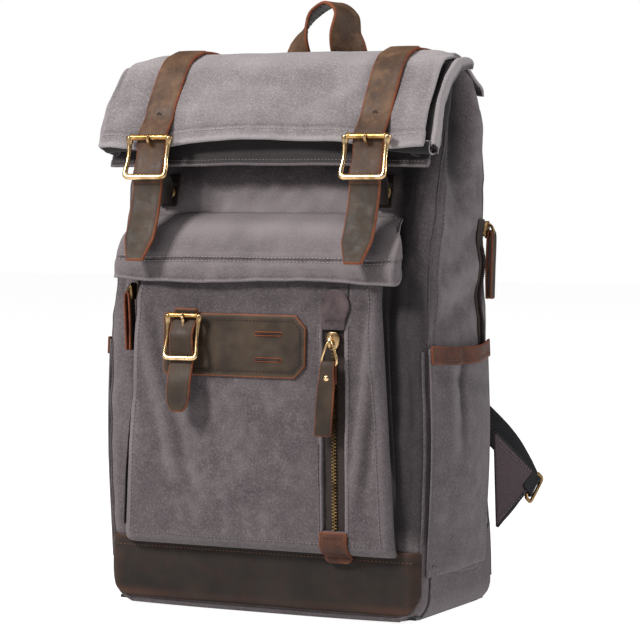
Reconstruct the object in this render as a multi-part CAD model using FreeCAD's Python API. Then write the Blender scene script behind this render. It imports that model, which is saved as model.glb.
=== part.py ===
"""Roll-top travel backpack: canvas body, rolled lid, leather straps, front pocket and shoulder straps.

Frame: +Z up, the front of the bag faces -Y, origin on the floor under the middle of the base.
"""
import FreeCAD, Part
import math
import os

# ---------------------------------------------------------------- driving sizes, millimetres
BODY_WIDTH = 272.0
BASE_DEPTH = 145.0
RIDGE_HEIGHT = 440.0
FLAP_OVERHANG = 7.0
CANVAS = 3.0
BACK_PAD = 9.0
LEATHER = 3.0
GAP = 0.4

STRAP_WIDTH = 25.0
STRAP_FROM_EDGE = 41.0
BUCKLE_WIDTH = 38.0
BUCKLE_TOP_Z = RIDGE_HEIGHT - 67.0
BUCKLE_HEIGHT = 31.0
TAIL_LENGTH = 67.0

BAND_HEIGHT = 45.0
BAND_FOOT = 8.0
BAND_CORNER = 22.0

POCKET_BOTTOM = 52.0
POCKET_BELOW_RIDGE = 169.0
POCKET_TOP_MARGIN = 31.0
POCKET_BOTTOM_MARGIN = 18.0
POCKET_DEPTH = 16.0
POCKET_FLAP_MARGIN = 14.0

ZIP_FROM_EDGE = 34.0
ZIP_WINDOW = 20.0
ZIP_BELOW_POCKET_TOP = 44.0
ZIP_LENGTH = 157.0
TEETH_WIDTH = 6.0

PATCH_FROM_EDGE = 28.0
PATCH_FROM_ZIP = 24.0
PATCH_BELOW_POCKET_TOP = 36.0
PATCH_HEIGHT = 47.0

SIDE_POCKET_TOP = 212.0
SIDE_POCKET_BULGE = 9.5
HANDLE_HEIGHT = 54.0

# ---------------------------------------------------------------- places worked out from them
HALF = BODY_WIDTH / 2
FRONT = -BASE_DEPTH / 2
BACK = BASE_DEPTH / 2
FLAP_WIDTH = BODY_WIDTH + 2 * FLAP_OVERHANG
STRAP_X = HALF - STRAP_FROM_EDGE
POCKET_TOP = RIDGE_HEIGHT - POCKET_BELOW_RIDGE
POCKET_FACE = FRONT - POCKET_DEPTH
POCKET_TOP_WIDTH = BODY_WIDTH - 2 * POCKET_TOP_MARGIN
POCKET_BOTTOM_WIDTH = BODY_WIDTH - 2 * POCKET_BOTTOM_MARGIN
POCKET_FLAP_WIDTH = BODY_WIDTH - 2 * POCKET_FLAP_MARGIN
ZIP_X = POCKET_TOP_WIDTH / 2 - ZIP_FROM_EDGE
ZIP_HIGH = POCKET_TOP - ZIP_BELOW_POCKET_TOP
ZIP_LOW = ZIP_HIGH - ZIP_LENGTH
PATCH_LEFT = -POCKET_TOP_WIDTH / 2 + PATCH_FROM_EDGE
PATCH_RIGHT = ZIP_X - PATCH_FROM_ZIP
PATCH_LOW = POCKET_TOP - PATCH_BELOW_POCKET_TOP - PATCH_HEIGHT
FRONT_LINE = [
    (FRONT, CANVAS + 0.5),
    (FRONT, POCKET_TOP - 56),
    (FRONT + 5, POCKET_TOP - 9),
    (FRONT + 16, POCKET_TOP + 31),
    (FRONT + 29, RIDGE_HEIGHT - 97),
    (FRONT + 48, RIDGE_HEIGHT - 22),
]
RIDGE = (FRONT + 56.5, RIDGE_HEIGHT)
LID_HINGE = (BACK - 34.5, RIDGE_HEIGHT - 9)
SHOULDER = (BACK - 27.5, RIDGE_HEIGHT - 16)
BACK_LINE = [SHOULDER, (BACK, CANVAS + 1.4)]
LID_LINE = [RIDGE, ((RIDGE[0] + LID_HINGE[0]) / 2, RIDGE_HEIGHT - 2.0), LID_HINGE]
FLAP_LINE = [
    (FRONT - 0.5, RIDGE_HEIGHT - 76),
    (FRONT + 12.5, RIDGE_HEIGHT - 44),
    (FRONT + 36.5, RIDGE_HEIGHT - 10),
    RIDGE,
]
COLLAR_LINE = [
    (FRONT + 6.5, RIDGE_HEIGHT - 88),
    (FRONT + 22.5, RIDGE_HEIGHT - 56),
    (FRONT + 39.5, RIDGE_HEIGHT - 28),
    (FRONT + 44.0, RIDGE_HEIGHT - 19.5),
]
POCKET_LINE = [
    (POCKET_FACE, POCKET_BOTTOM),
    (POCKET_FACE, POCKET_TOP - 26),
    (POCKET_FACE + 5, POCKET_TOP),
]
POCKET_FLAP_LINE = [
    (POCKET_FACE - 1.5, POCKET_TOP - 9),
    (POCKET_FACE + 1.5, POCKET_TOP + 12),
    (FRONT + 1.5, POCKET_TOP + 30),
    (FRONT + 17.5, POCKET_TOP + 42),
]


# ---------------------------------------------------------------- helpers
def box(x, y, z):
    """A block from (low, high) pairs on each axis."""
    size = (x[1] - x[0], y[1] - y[0], z[1] - z[0])
    return Part.makeBox(*size, FreeCAD.Vector(x[0], y[0], z[0]))


def prism(points, direction):
    """A closed flat outline of 3-D points, pushed along a direction."""
    vectors = [FreeCAD.Vector(*point) for point in points]
    face = Part.Face(Part.makePolygon(vectors + vectors[:1]))
    return face.extrude(FreeCAD.Vector(*direction))


def side_prism(outline, x_low, x_high):
    """A (y, z) outline pushed along X."""
    return prism([(x_low, y, z) for y, z in outline], (x_high - x_low, 0, 0))


def front_prism(outline, y_low, y_high):
    """An (x, z) outline pushed along Y."""
    return prism([(x, y_low, z) for x, z in outline], (0, y_high - y_low, 0))


def offset(line, distance):
    """Move an open (y, z) line to its left by a distance, with mitred corners."""
    normals = []
    for (y0, z0), (y1, z1) in zip(line, line[1:]):
        length = math.hypot(y1 - y0, z1 - z0)
        normals.append((-(z1 - z0) / length, (y1 - y0) / length))
    moved = []
    for index, (y, z) in enumerate(line):
        before = normals[max(index - 1, 0)]
        after = normals[min(index, len(normals) - 1)]
        share = distance / (1 + before[0] * after[0] + before[1] * after[1])
        moved.append((y + share * (before[0] + after[0]), z + share * (before[1] + after[1])))
    return moved


def layer(line, low, high, x_low, x_high):
    """A sheet that follows a (y, z) line between two offsets to its left."""
    return side_prism(offset(line, low) + offset(line, high)[::-1], x_low, x_high)


def at_height(line, z):
    """The y of a rising or falling (y, z) line at height z."""
    for (y0, z0), (y1, z1) in zip(line, line[1:]):
        if min(z0, z1) <= z <= max(z0, z1):
            return y0 + (y1 - y0) * (z - z0) / (z1 - z0)
    return line[-1][0]


def bar(x_low, x_high, y, z, radius):
    """A round bar along X."""
    base = FreeCAD.Vector(x_low, y, z)
    return Part.makeCylinder(radius, x_high - x_low, base, FreeCAD.Vector(1, 0, 0))


def disc(x, y, z, radius, thickness):
    """A round disc that faces the front, its back at y."""
    base = FreeCAD.Vector(x, y, z)
    return Part.makeCylinder(radius, thickness, base, FreeCAD.Vector(0, -1, 0))


def ribbon(sections):
    """A closed band through (centre, half width vector, half thickness vector) sections."""
    wires = []
    for centre, wide, thick in sections:
        c, w, t = FreeCAD.Vector(*centre), FreeCAD.Vector(*wide), FreeCAD.Vector(*thick)
        corners = [c - w - t, c + w - t, c + w + t, c - w + t]
        wires.append(Part.makePolygon(corners + corners[:1]))
    return Part.makeLoft(wires, True, True)


def rod(start, end, radius):
    """A round rod between two points."""
    axis = FreeCAD.Vector(*end) - FreeCAD.Vector(*start)
    return Part.makeCylinder(radius, axis.Length, FreeCAD.Vector(*start), axis)


def mirrored(shape):
    """The same shape on the other side of the bag."""
    return shape.mirror(FreeCAD.Vector(0, 0, 0), FreeCAD.Vector(1, 0, 0))


def group(shapes):
    """Several loose solids in one node."""
    return Part.makeCompound([solid for shape in shapes for solid in shape.Solids])


# ---------------------------------------------------------------- bag body
def front_panel():
    inner = HALF - CANVAS - GAP
    return layer(FRONT_LINE, -CANVAS, 0, -inner, inner)


def back_panel():
    inner = HALF - CANVAS - GAP
    pad = layer(BACK_LINE, -BACK_PAD, 0, -inner, inner)
    top = [(LID_HINGE[0] + 0.6, LID_HINGE[1] - 0.6), SHOULDER]
    cap = layer(top, -CANVAS, 0, -inner, inner)
    behind = box((-HALF, HALF), (LID_HINGE[0] + 0.3, BACK + 5), (0, RIDGE_HEIGHT))
    return pad.fuse(cap).common(behind).removeSplitter()


def side_outline():
    under_lid = offset(LID_LINE, -CANVAS - 2 * GAP)
    return FRONT_LINE + under_lid + [(SHOULDER[0] - 1.0, SHOULDER[1] - 1.0)] + BACK_LINE[1:]


def side_panel():
    return side_prism(side_outline(), HALF - CANVAS, HALF)


def base_panel():
    return box((-HALF, HALF), (FRONT, BACK), (0, CANVAS))


def base_board():
    inner = HALF - CANVAS - 2
    return box((-inner, inner), (FRONT + CANVAS + 1, BACK - BACK_PAD - 3), (CANVAS + 0.3, CANVAS + 2.5))


def band_outline(half, low, high, corner):
    """A front-view plate with round bottom corners, as (x, z) points."""
    outline = [(half, high), (-half, high)]
    for side in (-1, 1):
        centre = (side * (half - corner), low + corner)
        steps = range(0, 91, 15) if side < 0 else range(90, -1, -15)
        for step in steps:
            angle = math.radians(step)
            outline.append((centre[0] + side * corner * math.cos(angle),
                            centre[1] - corner * math.sin(angle)))
    return outline


def leather_base_band():
    outline = band_outline(HALF - 1.5, BAND_FOOT, BAND_FOOT + BAND_HEIGHT, BAND_CORNER)
    return front_prism(outline, FRONT - 2.3, FRONT - 0.3)


def edge_piping():
    """A cord round the foot and up both front corners, outside the band."""
    radius, y = 1.6, FRONT - 1.7
    x, low, high = HALF + 1.2, BAND_FOOT - 3.0, POCKET_TOP - 60
    corner = BAND_CORNER + 1
    bend = corner * (1 - math.sqrt(0.5))

    def at(px, pz):
        return FreeCAD.Vector(px, y, pz)

    curves = [
        Part.LineSegment(at(-x, high), at(-x, low + corner)),
        Part.Arc(at(-x, low + corner), at(-x + bend, low + bend), at(-x + corner, low)),
        Part.LineSegment(at(-x + corner, low), at(x - corner, low)),
        Part.Arc(at(x - corner, low), at(x - bend, low + bend), at(x, low + corner)),
        Part.LineSegment(at(x, low + corner), at(x, high)),
    ]
    path = Part.Wire([curve.toShape() for curve in curves])
    section = Part.Wire(Part.makeCircle(radius, at(-x, high), FreeCAD.Vector(0, 0, -1)))
    return path.makePipeShell([section], True, False)


def laptop_divider():
    line = [(SHOULDER[0] - 1.9 - 24, RIDGE_HEIGHT - 110), (BACK - BACK_PAD - 24, CANVAS + 5.8)]
    inner = HALF - CANVAS - 3
    return layer(line, -CANVAS, 0, -inner, inner)


def main_lining():
    """A thin open-topped tub just inside the panels."""
    top, floor, skin = RIDGE_HEIGHT - 40, CANVAS + 4.0, 0.8
    front = offset(FRONT_LINE, -CANVAS - GAP)
    back = offset(BACK_LINE, -BACK_PAD - GAP)

    def section(inset, low, high):
        rising = offset(front, -inset)
        falling = offset(back, -inset)
        middle = [(y, z) for y, z in rising if low < z < high]
        return ([(at_height(rising, low), low)] + middle + [(at_height(rising, high), high)]
                + [(at_height(falling, high), high), (at_height(falling, low), low)])

    half = HALF - CANVAS - GAP
    outer = side_prism(section(0, floor, top), -half, half)
    inner = side_prism(section(skin, floor + skin, top + 2), -half + skin, half - skin)
    return outer.cut(inner)


# ---------------------------------------------------------------- lid, flap and collar
def lid_panel():
    sheet = layer(LID_LINE, -CANVAS, 0, -HALF, HALF)
    keep = box((-HALF, HALF), (RIDGE[0] + 0.3, LID_HINGE[0] - 0.3), (0, RIDGE_HEIGHT + 5))
    return sheet.common(keep)


def roll_flap():
    half = FLAP_WIDTH / 2
    sheet = layer(FLAP_LINE, -CANVAS, 0, -half, half)
    keep = box((-half, half), (FRONT - 50, RIDGE[0] - 0.3), (0, RIDGE_HEIGHT + 5))
    return sheet.common(keep)


def front_collar():
    half = FLAP_WIDTH / 2 - 3
    return layer(COLLAR_LINE, -CANVAS, -1.2, -half, half)


def collar_facing():
    half = FLAP_WIDTH / 2 - 3
    return layer(COLLAR_LINE[:3], -1.2, 0, -half, half)


# ---------------------------------------------------------------- closing straps
SETBACK = 3.5
TOP_BAR = 2.6
LOW_BAR = 2.3
CENTRE_BAR = 1.8
BUCKLE_LOW_Z = BUCKLE_TOP_Z - BUCKLE_HEIGHT
TOP_BAR_AT = (FRONT - 9.2, BUCKLE_TOP_Z)
CENTRE_BAR_AT = (FRONT - 0.5, BUCKLE_TOP_Z - 15)
LOW_BAR_AT = (FRONT - 17.5, BUCKLE_LOW_Z)
TAIL_HINGE = (FRONT - 12.5, BUCKLE_LOW_Z - 8)


def trimmed(line, start, end):
    """An open line with a length cut off each end."""
    def cut(points, length):
        (y0, z0), (y1, z1) = points[0], points[1]
        share = length / math.hypot(y1 - y0, z1 - z0)
        return [(y0 + share * (y1 - y0), z0 + share * (z1 - z0))] + points[1:]
    line = cut(line, start) if start else line
    return cut(line[::-1], end)[::-1] if end else line


def strap_span(x):
    return x - STRAP_WIDTH / 2, x + STRAP_WIDTH / 2


def both_straps(line):
    right = layer(line, GAP, GAP + LEATHER, *strap_span(STRAP_X))
    return group([right, mirrored(right)])


def strap_roots():
    low = (at_height(BACK_LINE, RIDGE_HEIGHT - 52), RIDGE_HEIGHT - 52)
    return both_straps(trimmed([LID_HINGE, SHOULDER, low], SETBACK, 0))


def lid_straps():
    return both_straps(trimmed(LID_LINE, SETBACK, SETBACK))


def flap_strap():
    """Front part of a strap: down the flap, behind the top bar, over the centre bar."""
    flap = trimmed(FLAP_LINE, 0, SETBACK)
    under_bar = (LOW_BAR_AT[0] + LOW_BAR + GAP + LEATHER + 0.2, LOW_BAR_AT[1])
    low = (TAIL_HINGE[0] + LEATHER / 2 + 0.3, TAIL_HINGE[1] + 2.2)
    over_centre = (CENTRE_BAR_AT[0] - CENTRE_BAR - 2.4, CENTRE_BAR_AT[1] + 1)
    under_top = (FRONT - 3.1, BUCKLE_TOP_Z - 2)
    line = [low, under_bar, over_centre, under_top] + offset(flap, GAP)[1:]
    return layer(line, 0, LEATHER, *strap_span(STRAP_X))


def strap_tail():
    """Loose end of a strap, hung from the buckle's low bar, with a blunt point."""
    foot = (TAIL_HINGE[0] - 22.0, TAIL_HINGE[1] - TAIL_LENGTH + 8)
    line = [foot, (TAIL_HINGE[0] - 9.0, TAIL_HINGE[1] - 30), (TAIL_HINGE[0] + 0.3, TAIL_HINGE[1] - 1.0)]
    tail = layer(line, -LEATHER / 2, LEATHER / 2, *strap_span(STRAP_X))
    half, blunt, taper = STRAP_WIDTH / 2 + 1, 7.0, 18.0
    top, low = TAIL_HINGE[1] + 9, foot[1] - 2
    outline = [(-half, top), (half, top), (half, low + taper), (blunt, low), (-blunt, low), (-half, low + taper)]
    mask = front_prism([(STRAP_X + x, z) for x, z in outline], FRONT - 60, FRONT + 10)
    return tail.common(mask)


def cheeks(x, half, line, radius, thick):
    """The two bowed sides of a buckle."""
    right = layer(line, -radius, radius, x + half - thick, x + half)
    left = layer(line, -radius, radius, x - half, x - half + thick)
    return [right, left]


def strap_buckle(x):
    """Two round bars, bowed cheeks and a centre bar behind the strap."""
    half = BUCKLE_WIDTH / 2
    bow = (LOW_BAR_AT[0] * 0.5 + TOP_BAR_AT[0] * 0.5 + 1.5, BUCKLE_TOP_Z - BUCKLE_HEIGHT / 2)
    frame = bar(x - half, x + half, *TOP_BAR_AT, TOP_BAR)
    parts = cheeks(x, half, [LOW_BAR_AT, bow, TOP_BAR_AT], LOW_BAR, 3.4)
    parts += cheeks(x, half, [bow, CENTRE_BAR_AT], 1.5, 3.4)
    parts.append(bar(x - half, x + half, *LOW_BAR_AT, LOW_BAR))
    parts.append(bar(x - half + 0.5, x + half - 0.5, *CENTRE_BAR_AT, CENTRE_BAR))
    return frame.multiFuse(parts).removeSplitter()


def strap_prong(x):
    """A tongue from the centre bar, behind the strap, with its tip over the top bar."""
    y, z = CENTRE_BAR_AT
    eye = bar(x - 2, x + 2, y, z, CENTRE_BAR + 1.6)
    eye = eye.cut(bar(x - 3, x + 3, y, z, CENTRE_BAR + 0.15))
    top_y, top_z = TOP_BAR_AT
    tip_y = top_y - TOP_BAR - GAP
    tongue = layer([(y - 0.9, z + CENTRE_BAR + 0.8), (y - 1.3, z + CENTRE_BAR + 4.9),
                    (tip_y, top_z - TOP_BAR - 0.9), (tip_y, top_z + 1.6)], 0, 1.6, x - 1.3, x + 1.3)
    return eye.fuse(tongue).removeSplitter()


def prong_slot(x, length):
    """The room that a prong takes where it passes the strap."""
    return box((x - 1.8, x + 1.8), (FRONT - 20, FRONT + 20), (BUCKLE_TOP_Z - 11, BUCKLE_TOP_Z - 11 + length))


def chape(x):
    """Leather that hangs from the centre bar and carries the snap stud."""
    y, z = CENTRE_BAR_AT
    eye = bar(x - 9, x + 9, y, z, CENTRE_BAR + 1.9).cut(bar(x - 10, x + 10, y, z, CENTRE_BAR + 0.15))
    eye = eye.cut(box((x - 2.6, x + 2.6), (y - 6, y + 6), (z - 6, z + 6)))
    low = (SNAP_AT[0] - 3.1, SNAP_AT[1] - 9)
    mid = (SNAP_AT[0] - 3.1, SNAP_AT[1] + 8)
    sheet = layer([low, mid, (y + 1.0, z - CENTRE_BAR - 1.2)], 0, 2.0, x - 10, x + 10)
    sheet = sheet.cut(box((x - 2.6, x + 2.6), (y - 9, y + 9), (z - 7, z + 9)))
    return eye.fuse(sheet).removeSplitter()


SNAP_AT = (at_height(FRONT_LINE, RIDGE_HEIGHT - 110) - 4.4, RIDGE_HEIGHT - 110)
SNAP_RADIUS = 7.0


def anchor_tabs():
    """Leather tabs sewn on the front, behind the chapes."""
    low = (at_height(FRONT_LINE, RIDGE_HEIGHT - 121), RIDGE_HEIGHT - 121)
    high = (at_height(FRONT_LINE, RIDGE_HEIGHT - 98), RIDGE_HEIGHT - 98)
    right = layer([low, high], GAP, GAP + 2.0, STRAP_X - 10, STRAP_X + 10)
    return group([right, mirrored(right)])


def snap_sockets():
    right = disc(STRAP_X, SNAP_AT[0] - 0.6, SNAP_AT[1], SNAP_RADIUS, 1.1)
    return group([right, mirrored(right)])


def snap_stud(x):
    return disc(x, SNAP_AT[0] - 2.0, SNAP_AT[1], SNAP_RADIUS, 1.0)


# ---------------------------------------------------------------- front pocket
def pocket_half(z):
    share = (z - POCKET_BOTTOM) / (POCKET_TOP - POCKET_BOTTOM)
    return (POCKET_BOTTOM_WIDTH + share * (POCKET_TOP_WIDTH - POCKET_BOTTOM_WIDTH)) / 2


def pocket_outline(inset, low, high):
    wide, narrow = pocket_half(low) - inset, pocket_half(high) - inset
    return [(-wide, low), (wide, low), (narrow, high), (-narrow, high)]


def pocket_front():
    sheet = layer(POCKET_LINE, -2.5, 0, -HALF, HALF)
    mask = front_prism(pocket_outline(0, POCKET_BOTTOM, POCKET_TOP + 1), FRONT - 60, FRONT)
    window = box((ZIP_X - ZIP_WINDOW / 2, ZIP_X + ZIP_WINDOW / 2), (FRONT - 60, FRONT), (ZIP_LOW, ZIP_HIGH))
    return sheet.common(mask).cut(window)


def pocket_gusset():
    """Sides, floor and roof of the box pocket, between its front and the body."""
    low, high = POCKET_BOTTOM + 2.0, POCKET_TOP - 0.5
    behind = offset(POCKET_LINE, -2.5 - 0.3)
    body = offset(FRONT_LINE[:4], 0.3)
    outline = behind + [(y, z) for y, z in reversed(body) if POCKET_BOTTOM < z < POCKET_TOP]
    outline.append((FRONT - 0.3, POCKET_BOTTOM))
    outline.insert(3, (at_height(body, POCKET_TOP), POCKET_TOP))
    block = side_prism(outline, -HALF, HALF)
    ring = front_prism(pocket_outline(0, low, high), FRONT - 60, FRONT + 30)
    hole = front_prism(pocket_outline(2.0, low + 2.0, high - 2.0), FRONT - 60, FRONT + 30)
    return block.common(ring).cut(hole)


def pocket_flap():
    half = POCKET_FLAP_WIDTH / 2
    roof = layer(POCKET_FLAP_LINE, -2.0, 0, -half, half)
    taper = [(-half, POCKET_TOP - 30), (half, POCKET_TOP - 30), (half, POCKET_TOP + 8),
             (half - 14, POCKET_TOP + 60), (-half + 14, POCKET_TOP + 60), (-half, POCKET_TOP + 8)]
    roof = roof.common(front_prism(taper, FRONT - 60, FRONT + 60))
    low, front = POCKET_FLAP_LINE[0][1], POCKET_FACE
    ear = [(front, low), (front, low + 16), (FRONT - 1.5, low + 30), (FRONT - 4.5, low)]
    ears = [side_prism(ear, half - 2.0, half), side_prism(ear, -half, -half + 2.0)]
    return roof.multiFuse(ears).removeSplitter()


def side_zip_line(x_out):
    """Left gusset zip as a pair of (x, z) ends at a distance outside the gusset."""
    low, high = POCKET_BOTTOM + 14, POCKET_TOP - 8
    return (-(pocket_half(low) + x_out), low), (-(pocket_half(high) + x_out), high)


def side_strip(inner, outer, y, low_cut=0.0, high_cut=0.0):
    (x0, z0), (x1, z1) = side_zip_line(inner)
    (u0, _), (u1, _) = side_zip_line(outer)
    lean = (x1 - x0) / (z1 - z0)
    z0, z1 = z0 + low_cut, z1 - high_cut
    x0, u0 = x0 + lean * low_cut, u0 + lean * low_cut
    x1, u1 = x1 - lean * high_cut, u1 - lean * high_cut
    return front_prism([(x0, z0), (u0, z0), (u1, z1), (x1, z1)], *y)


POCKET_MID = FRONT - 7.5
BACK_ZIP_LOW = 96.0
BACK_ZIP_HIGH = RIDGE_HEIGHT - 130


def back_zip_strip(inner, outer, half, low_cut=0.0, high_cut=0.0):
    """A strip on the right side panel that follows the back edge."""
    low, high = BACK_ZIP_LOW + low_cut, BACK_ZIP_HIGH - high_cut
    middle = [(at_height(BACK_LINE, z) - 9.5, z) for z in (high, low)]
    return layer(middle, -half, half, HALF + inner, HALF + outer)


def zip_tapes():
    """Front, pocket side and back zip tapes."""
    front = box((ZIP_X - ZIP_WINDOW / 2 + 0.3, ZIP_X + ZIP_WINDOW / 2 - 0.3),
                (POCKET_FACE + 1.2, POCKET_FACE + 2.2), (ZIP_LOW + 0.3, ZIP_HIGH - 0.3))
    side = side_strip(0.3, 1.1, (POCKET_MID - 5.5, POCKET_MID + 5.5))
    return group([front, side, back_zip_strip(0.3, 1.1, 6.0)])


def zip_teeth():
    """Rows of closed teeth down the middle of the three tapes."""
    half = TEETH_WIDTH / 2
    front = box((ZIP_X - half, ZIP_X + half), (POCKET_FACE - 0.5, POCKET_FACE + 1.1),
                (ZIP_LOW + 1, ZIP_HIGH - 12))
    side = side_strip(1.2, 2.4, (POCKET_MID - 2.2, POCKET_MID + 2.2), 1, 12)
    return group([front, side, back_zip_strip(1.2, 2.4, 2.2, 1, 12)])


def front_zip_patches():
    """Suede patch above the front zip and leather patch below it."""
    y = POCKET_FACE - 0.3
    top = disc(ZIP_X, y, ZIP_HIGH + 16, 12.5, 1.6)
    neck = box((ZIP_X - 9, ZIP_X + 9), (y - 1.6, y), (ZIP_HIGH + 1, ZIP_HIGH + 16))
    foot = box((ZIP_X - 11, ZIP_X + 11), (y - 1.6, y), (ZIP_LOW - 24, ZIP_LOW - 1))
    return group([top.fuse(neck).removeSplitter(), foot])


PIN_OUT = 5.6
EYE_RADIUS = 2.1


def slider_shape():
    """Slider that faces -Y with its back at y = 0 and its pin 4 below its middle."""
    body = box((-4.6, 4.6), (-2.6, 0), (-8, 4))
    pin = bar(-4.2, 4.2, -PIN_OUT, -4, 0.9)
    lugs = [box((x, x + 1.4), (-PIN_OUT - 0.2, -2.4), (-4.8, -3.2)) for x in (-4.2, 2.8)]
    return body.multiFuse([pin] + lugs).removeSplitter()


def pull_eye(width):
    """The turning end of a pull, round the pin of a slider."""
    return bar(-width / 2, width / 2, -PIN_OUT, -4, EYE_RADIUS)


def pin_hole():
    return bar(-9, 9, -PIN_OUT, -4, 1.05)


def placed(shape, x, y, z, turn):
    """Turn a local shape about +Z and move it to its place."""
    return shape.transformed(FreeCAD.Placement(FreeCAD.Vector(x, y, z),
                             FreeCAD.Rotation(FreeCAD.Vector(0, 0, 1), turn)).toMatrix())


FRONT_SLIDER = (ZIP_X, POCKET_FACE - 0.8, ZIP_HIGH - 8, 0)


def front_zip_slider():
    return placed(slider_shape(), *FRONT_SLIDER)


def front_zip_bail():
    """Ring that turns on the slider's pin and holds the leather tab."""
    y, z = -PIN_OUT, -4
    rim = box((-7.4, 7.4), (y - 2.1, y - 0.95), (z - 17, z + 1))
    rim = rim.cut(box((-6, 6), (y - 3, y), (z - 15.6, z - 2.2)))
    ring = pull_eye(5.0).fuse(rim).cut(pin_hole()).removeSplitter()
    return placed(ring, *FRONT_SLIDER)


def front_zip_tab():
    """Leather tab folded over the bail's foot."""
    y, z = -PIN_OUT, -4
    sheet = box((-5.6, 5.6), (y - 3.5, y + 0.7), (z - 70, z - 12))
    slot = box((-9, 9), (y - 2.4, y - 0.4), (z - 17.4, z - 11))
    return placed(sheet.cut(slot), *FRONT_SLIDER)


def front_zip_rivet():
    return placed(disc(0, -PIN_OUT - 3.8, -30, 2.0, 0.9), *FRONT_SLIDER)


# ---------------------------------------------------------------- leather patch and its strap
PATCH_BUCKLE_X = PATCH_LEFT + 21.0
PATCH_FRONT = POCKET_FACE - 2.4
PATCH_TOP_BAR = (PATCH_FRONT - 5.6, PATCH_LOW + PATCH_HEIGHT - 1)
PATCH_LOW_BAR = (PATCH_FRONT - 12.5, PATCH_TOP_BAR[1] - 33)
PATCH_CENTRE = (PATCH_FRONT - 5.2, PATCH_TOP_BAR[1] - 17)
PATCH_STRAP = 20.0


def leather_patch():
    low, high = PATCH_LOW, PATCH_LOW + PATCH_HEIGHT
    left, right, cut = PATCH_LEFT, PATCH_RIGHT, 9.0
    outline = [(left + 3, low), (right - cut, low), (right, low + cut), (right, high - cut),
               (right - cut, high), (left + 3, high), (left, high - 3), (left, low + 3)]
    sheet = front_prism(outline, PATCH_FRONT, POCKET_FACE - 0.4)
    for z in (low + 12, low + 33):
        slot = box((right - 41, right - 20), (PATCH_FRONT - 1, POCKET_FACE), (z - 1, z + 1))
        sheet = sheet.cut(slot)
    return sheet


def patch_strap():
    """Short strap through the small buckle, with its loose tail below."""
    top_y, top_z = PATCH_TOP_BAR
    low_y, low_z = PATCH_LOW_BAR
    tip_z = low_z - 41
    line = [(low_y - 3.5, tip_z), (low_y - 1.0, low_z - 18), (low_y + 3.3 + 2.0, low_z),
            (PATCH_CENTRE[0] - 3.6, PATCH_CENTRE[1] + 1), (top_y + 2.8 + 2.4, top_z - 2),
            (top_y + 2.8 + 2.2, top_z + 3)]
    half = PATCH_STRAP / 2
    strap = layer(line, 0, 2.0, PATCH_BUCKLE_X - half, PATCH_BUCKLE_X + half)
    outline = [(half, top_z + 9), (-half, top_z + 9), (-half, tip_z + 10), (-3, tip_z), (3, tip_z),
               (half, tip_z + 10)]
    mask = front_prism([(PATCH_BUCKLE_X + x, z) for x, z in outline], FRONT - 80, FRONT)
    slot = box((PATCH_BUCKLE_X - 1.7, PATCH_BUCKLE_X + 1.7), (FRONT - 80, FRONT),
               (top_z - 12.0, top_z - 2.6))
    return strap.common(mask).cut(slot)


def patch_buckle():
    half = 15.0
    x = PATCH_BUCKLE_X
    bow = (PATCH_TOP_BAR[0] * 0.5 + PATCH_LOW_BAR[0] * 0.5 - 1.5, PATCH_CENTRE[1])
    frame = bar(x - half, x + half, *PATCH_TOP_BAR, 2.2)
    parts = cheeks(x, half, [PATCH_LOW_BAR, bow, PATCH_TOP_BAR], 1.9, 3.0)
    parts += cheeks(x, half, [bow, PATCH_CENTRE], 1.3, 3.0)
    parts.append(bar(x - half, x + half, *PATCH_LOW_BAR, 1.9))
    parts.append(bar(x - half + 0.5, x + half - 0.5, *PATCH_CENTRE, 1.5))
    return frame.multiFuse(parts).removeSplitter()


def patch_prong():
    x = PATCH_BUCKLE_X
    y, z = PATCH_CENTRE
    eye = bar(x - 1.6, x + 1.6, y, z, 2.7).cut(bar(x - 3, x + 3, y, z, 1.65))
    tip_y = PATCH_TOP_BAR[0] - 2.2 - GAP
    tongue = layer([(y + 0.6, z + 1.9), (y + 0.6, z + 7.0), (tip_y, PATCH_TOP_BAR[1] - 3.1),
                    (tip_y, PATCH_TOP_BAR[1] + 1.4)], 0, 1.4, x - 1.2, x + 1.2)
    return eye.fuse(tongue).removeSplitter()


# ---------------------------------------------------------------- side pockets
SIDE_POCKET_FRONT = FRONT + 7.0
SIDE_POCKET_BACK = BACK - 31.0


def side_pocket_plan(inner, outer):
    """Bulged strip seen from above, as (x, y) points, between two distances from its inner face."""
    front, back, bulge = SIDE_POCKET_FRONT, SIDE_POCKET_BACK, SIDE_POCKET_BULGE
    line = [(HALF + 0.3, front), (HALF + bulge - 2.2, front + 16), (HALF + bulge, (front + back) / 2),
            (HALF + bulge - 2.2, back - 16), (HALF + 0.3, back)]
    near = [(x + inner, y) for x, y in line]
    far = [(x + outer, y) for x, y in line]
    return near + far[::-1]


def upright(plan, low, high):
    return prism([(x, y, low) for x, y in plan], (0, 0, high - low))


def side_pocket():
    low, high = BAND_FOOT + BAND_HEIGHT, SIDE_POCKET_TOP
    wall = upright(side_pocket_plan(0, 2.2), low, high)
    line = side_pocket_plan(0, 0)[:5]
    floor = upright(line + [(HALF + 0.3, SIDE_POCKET_BACK)], low, low + 2.2)
    return wall.fuse(floor).removeSplitter()


def side_pocket_bands():
    right = upright(side_pocket_plan(2.5, 4.0), SIDE_POCKET_TOP - 12, SIDE_POCKET_TOP)
    return group([right, mirrored(right)])


# ---------------------------------------------------------------- back and side sliders
BACK_SLIDER_Z = BACK_ZIP_HIGH - 8
SIDE_SLIDER_Z = POCKET_TOP - 18
BACK_SLIDER = (HALF + 2.8, at_height(BACK_LINE, BACK_SLIDER_Z) - 9.5, BACK_SLIDER_Z, 90)
SIDE_SLIDER = (-(pocket_half(SIDE_SLIDER_Z) + 3.2), POCKET_MID, SIDE_SLIDER_Z, -90)


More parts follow.
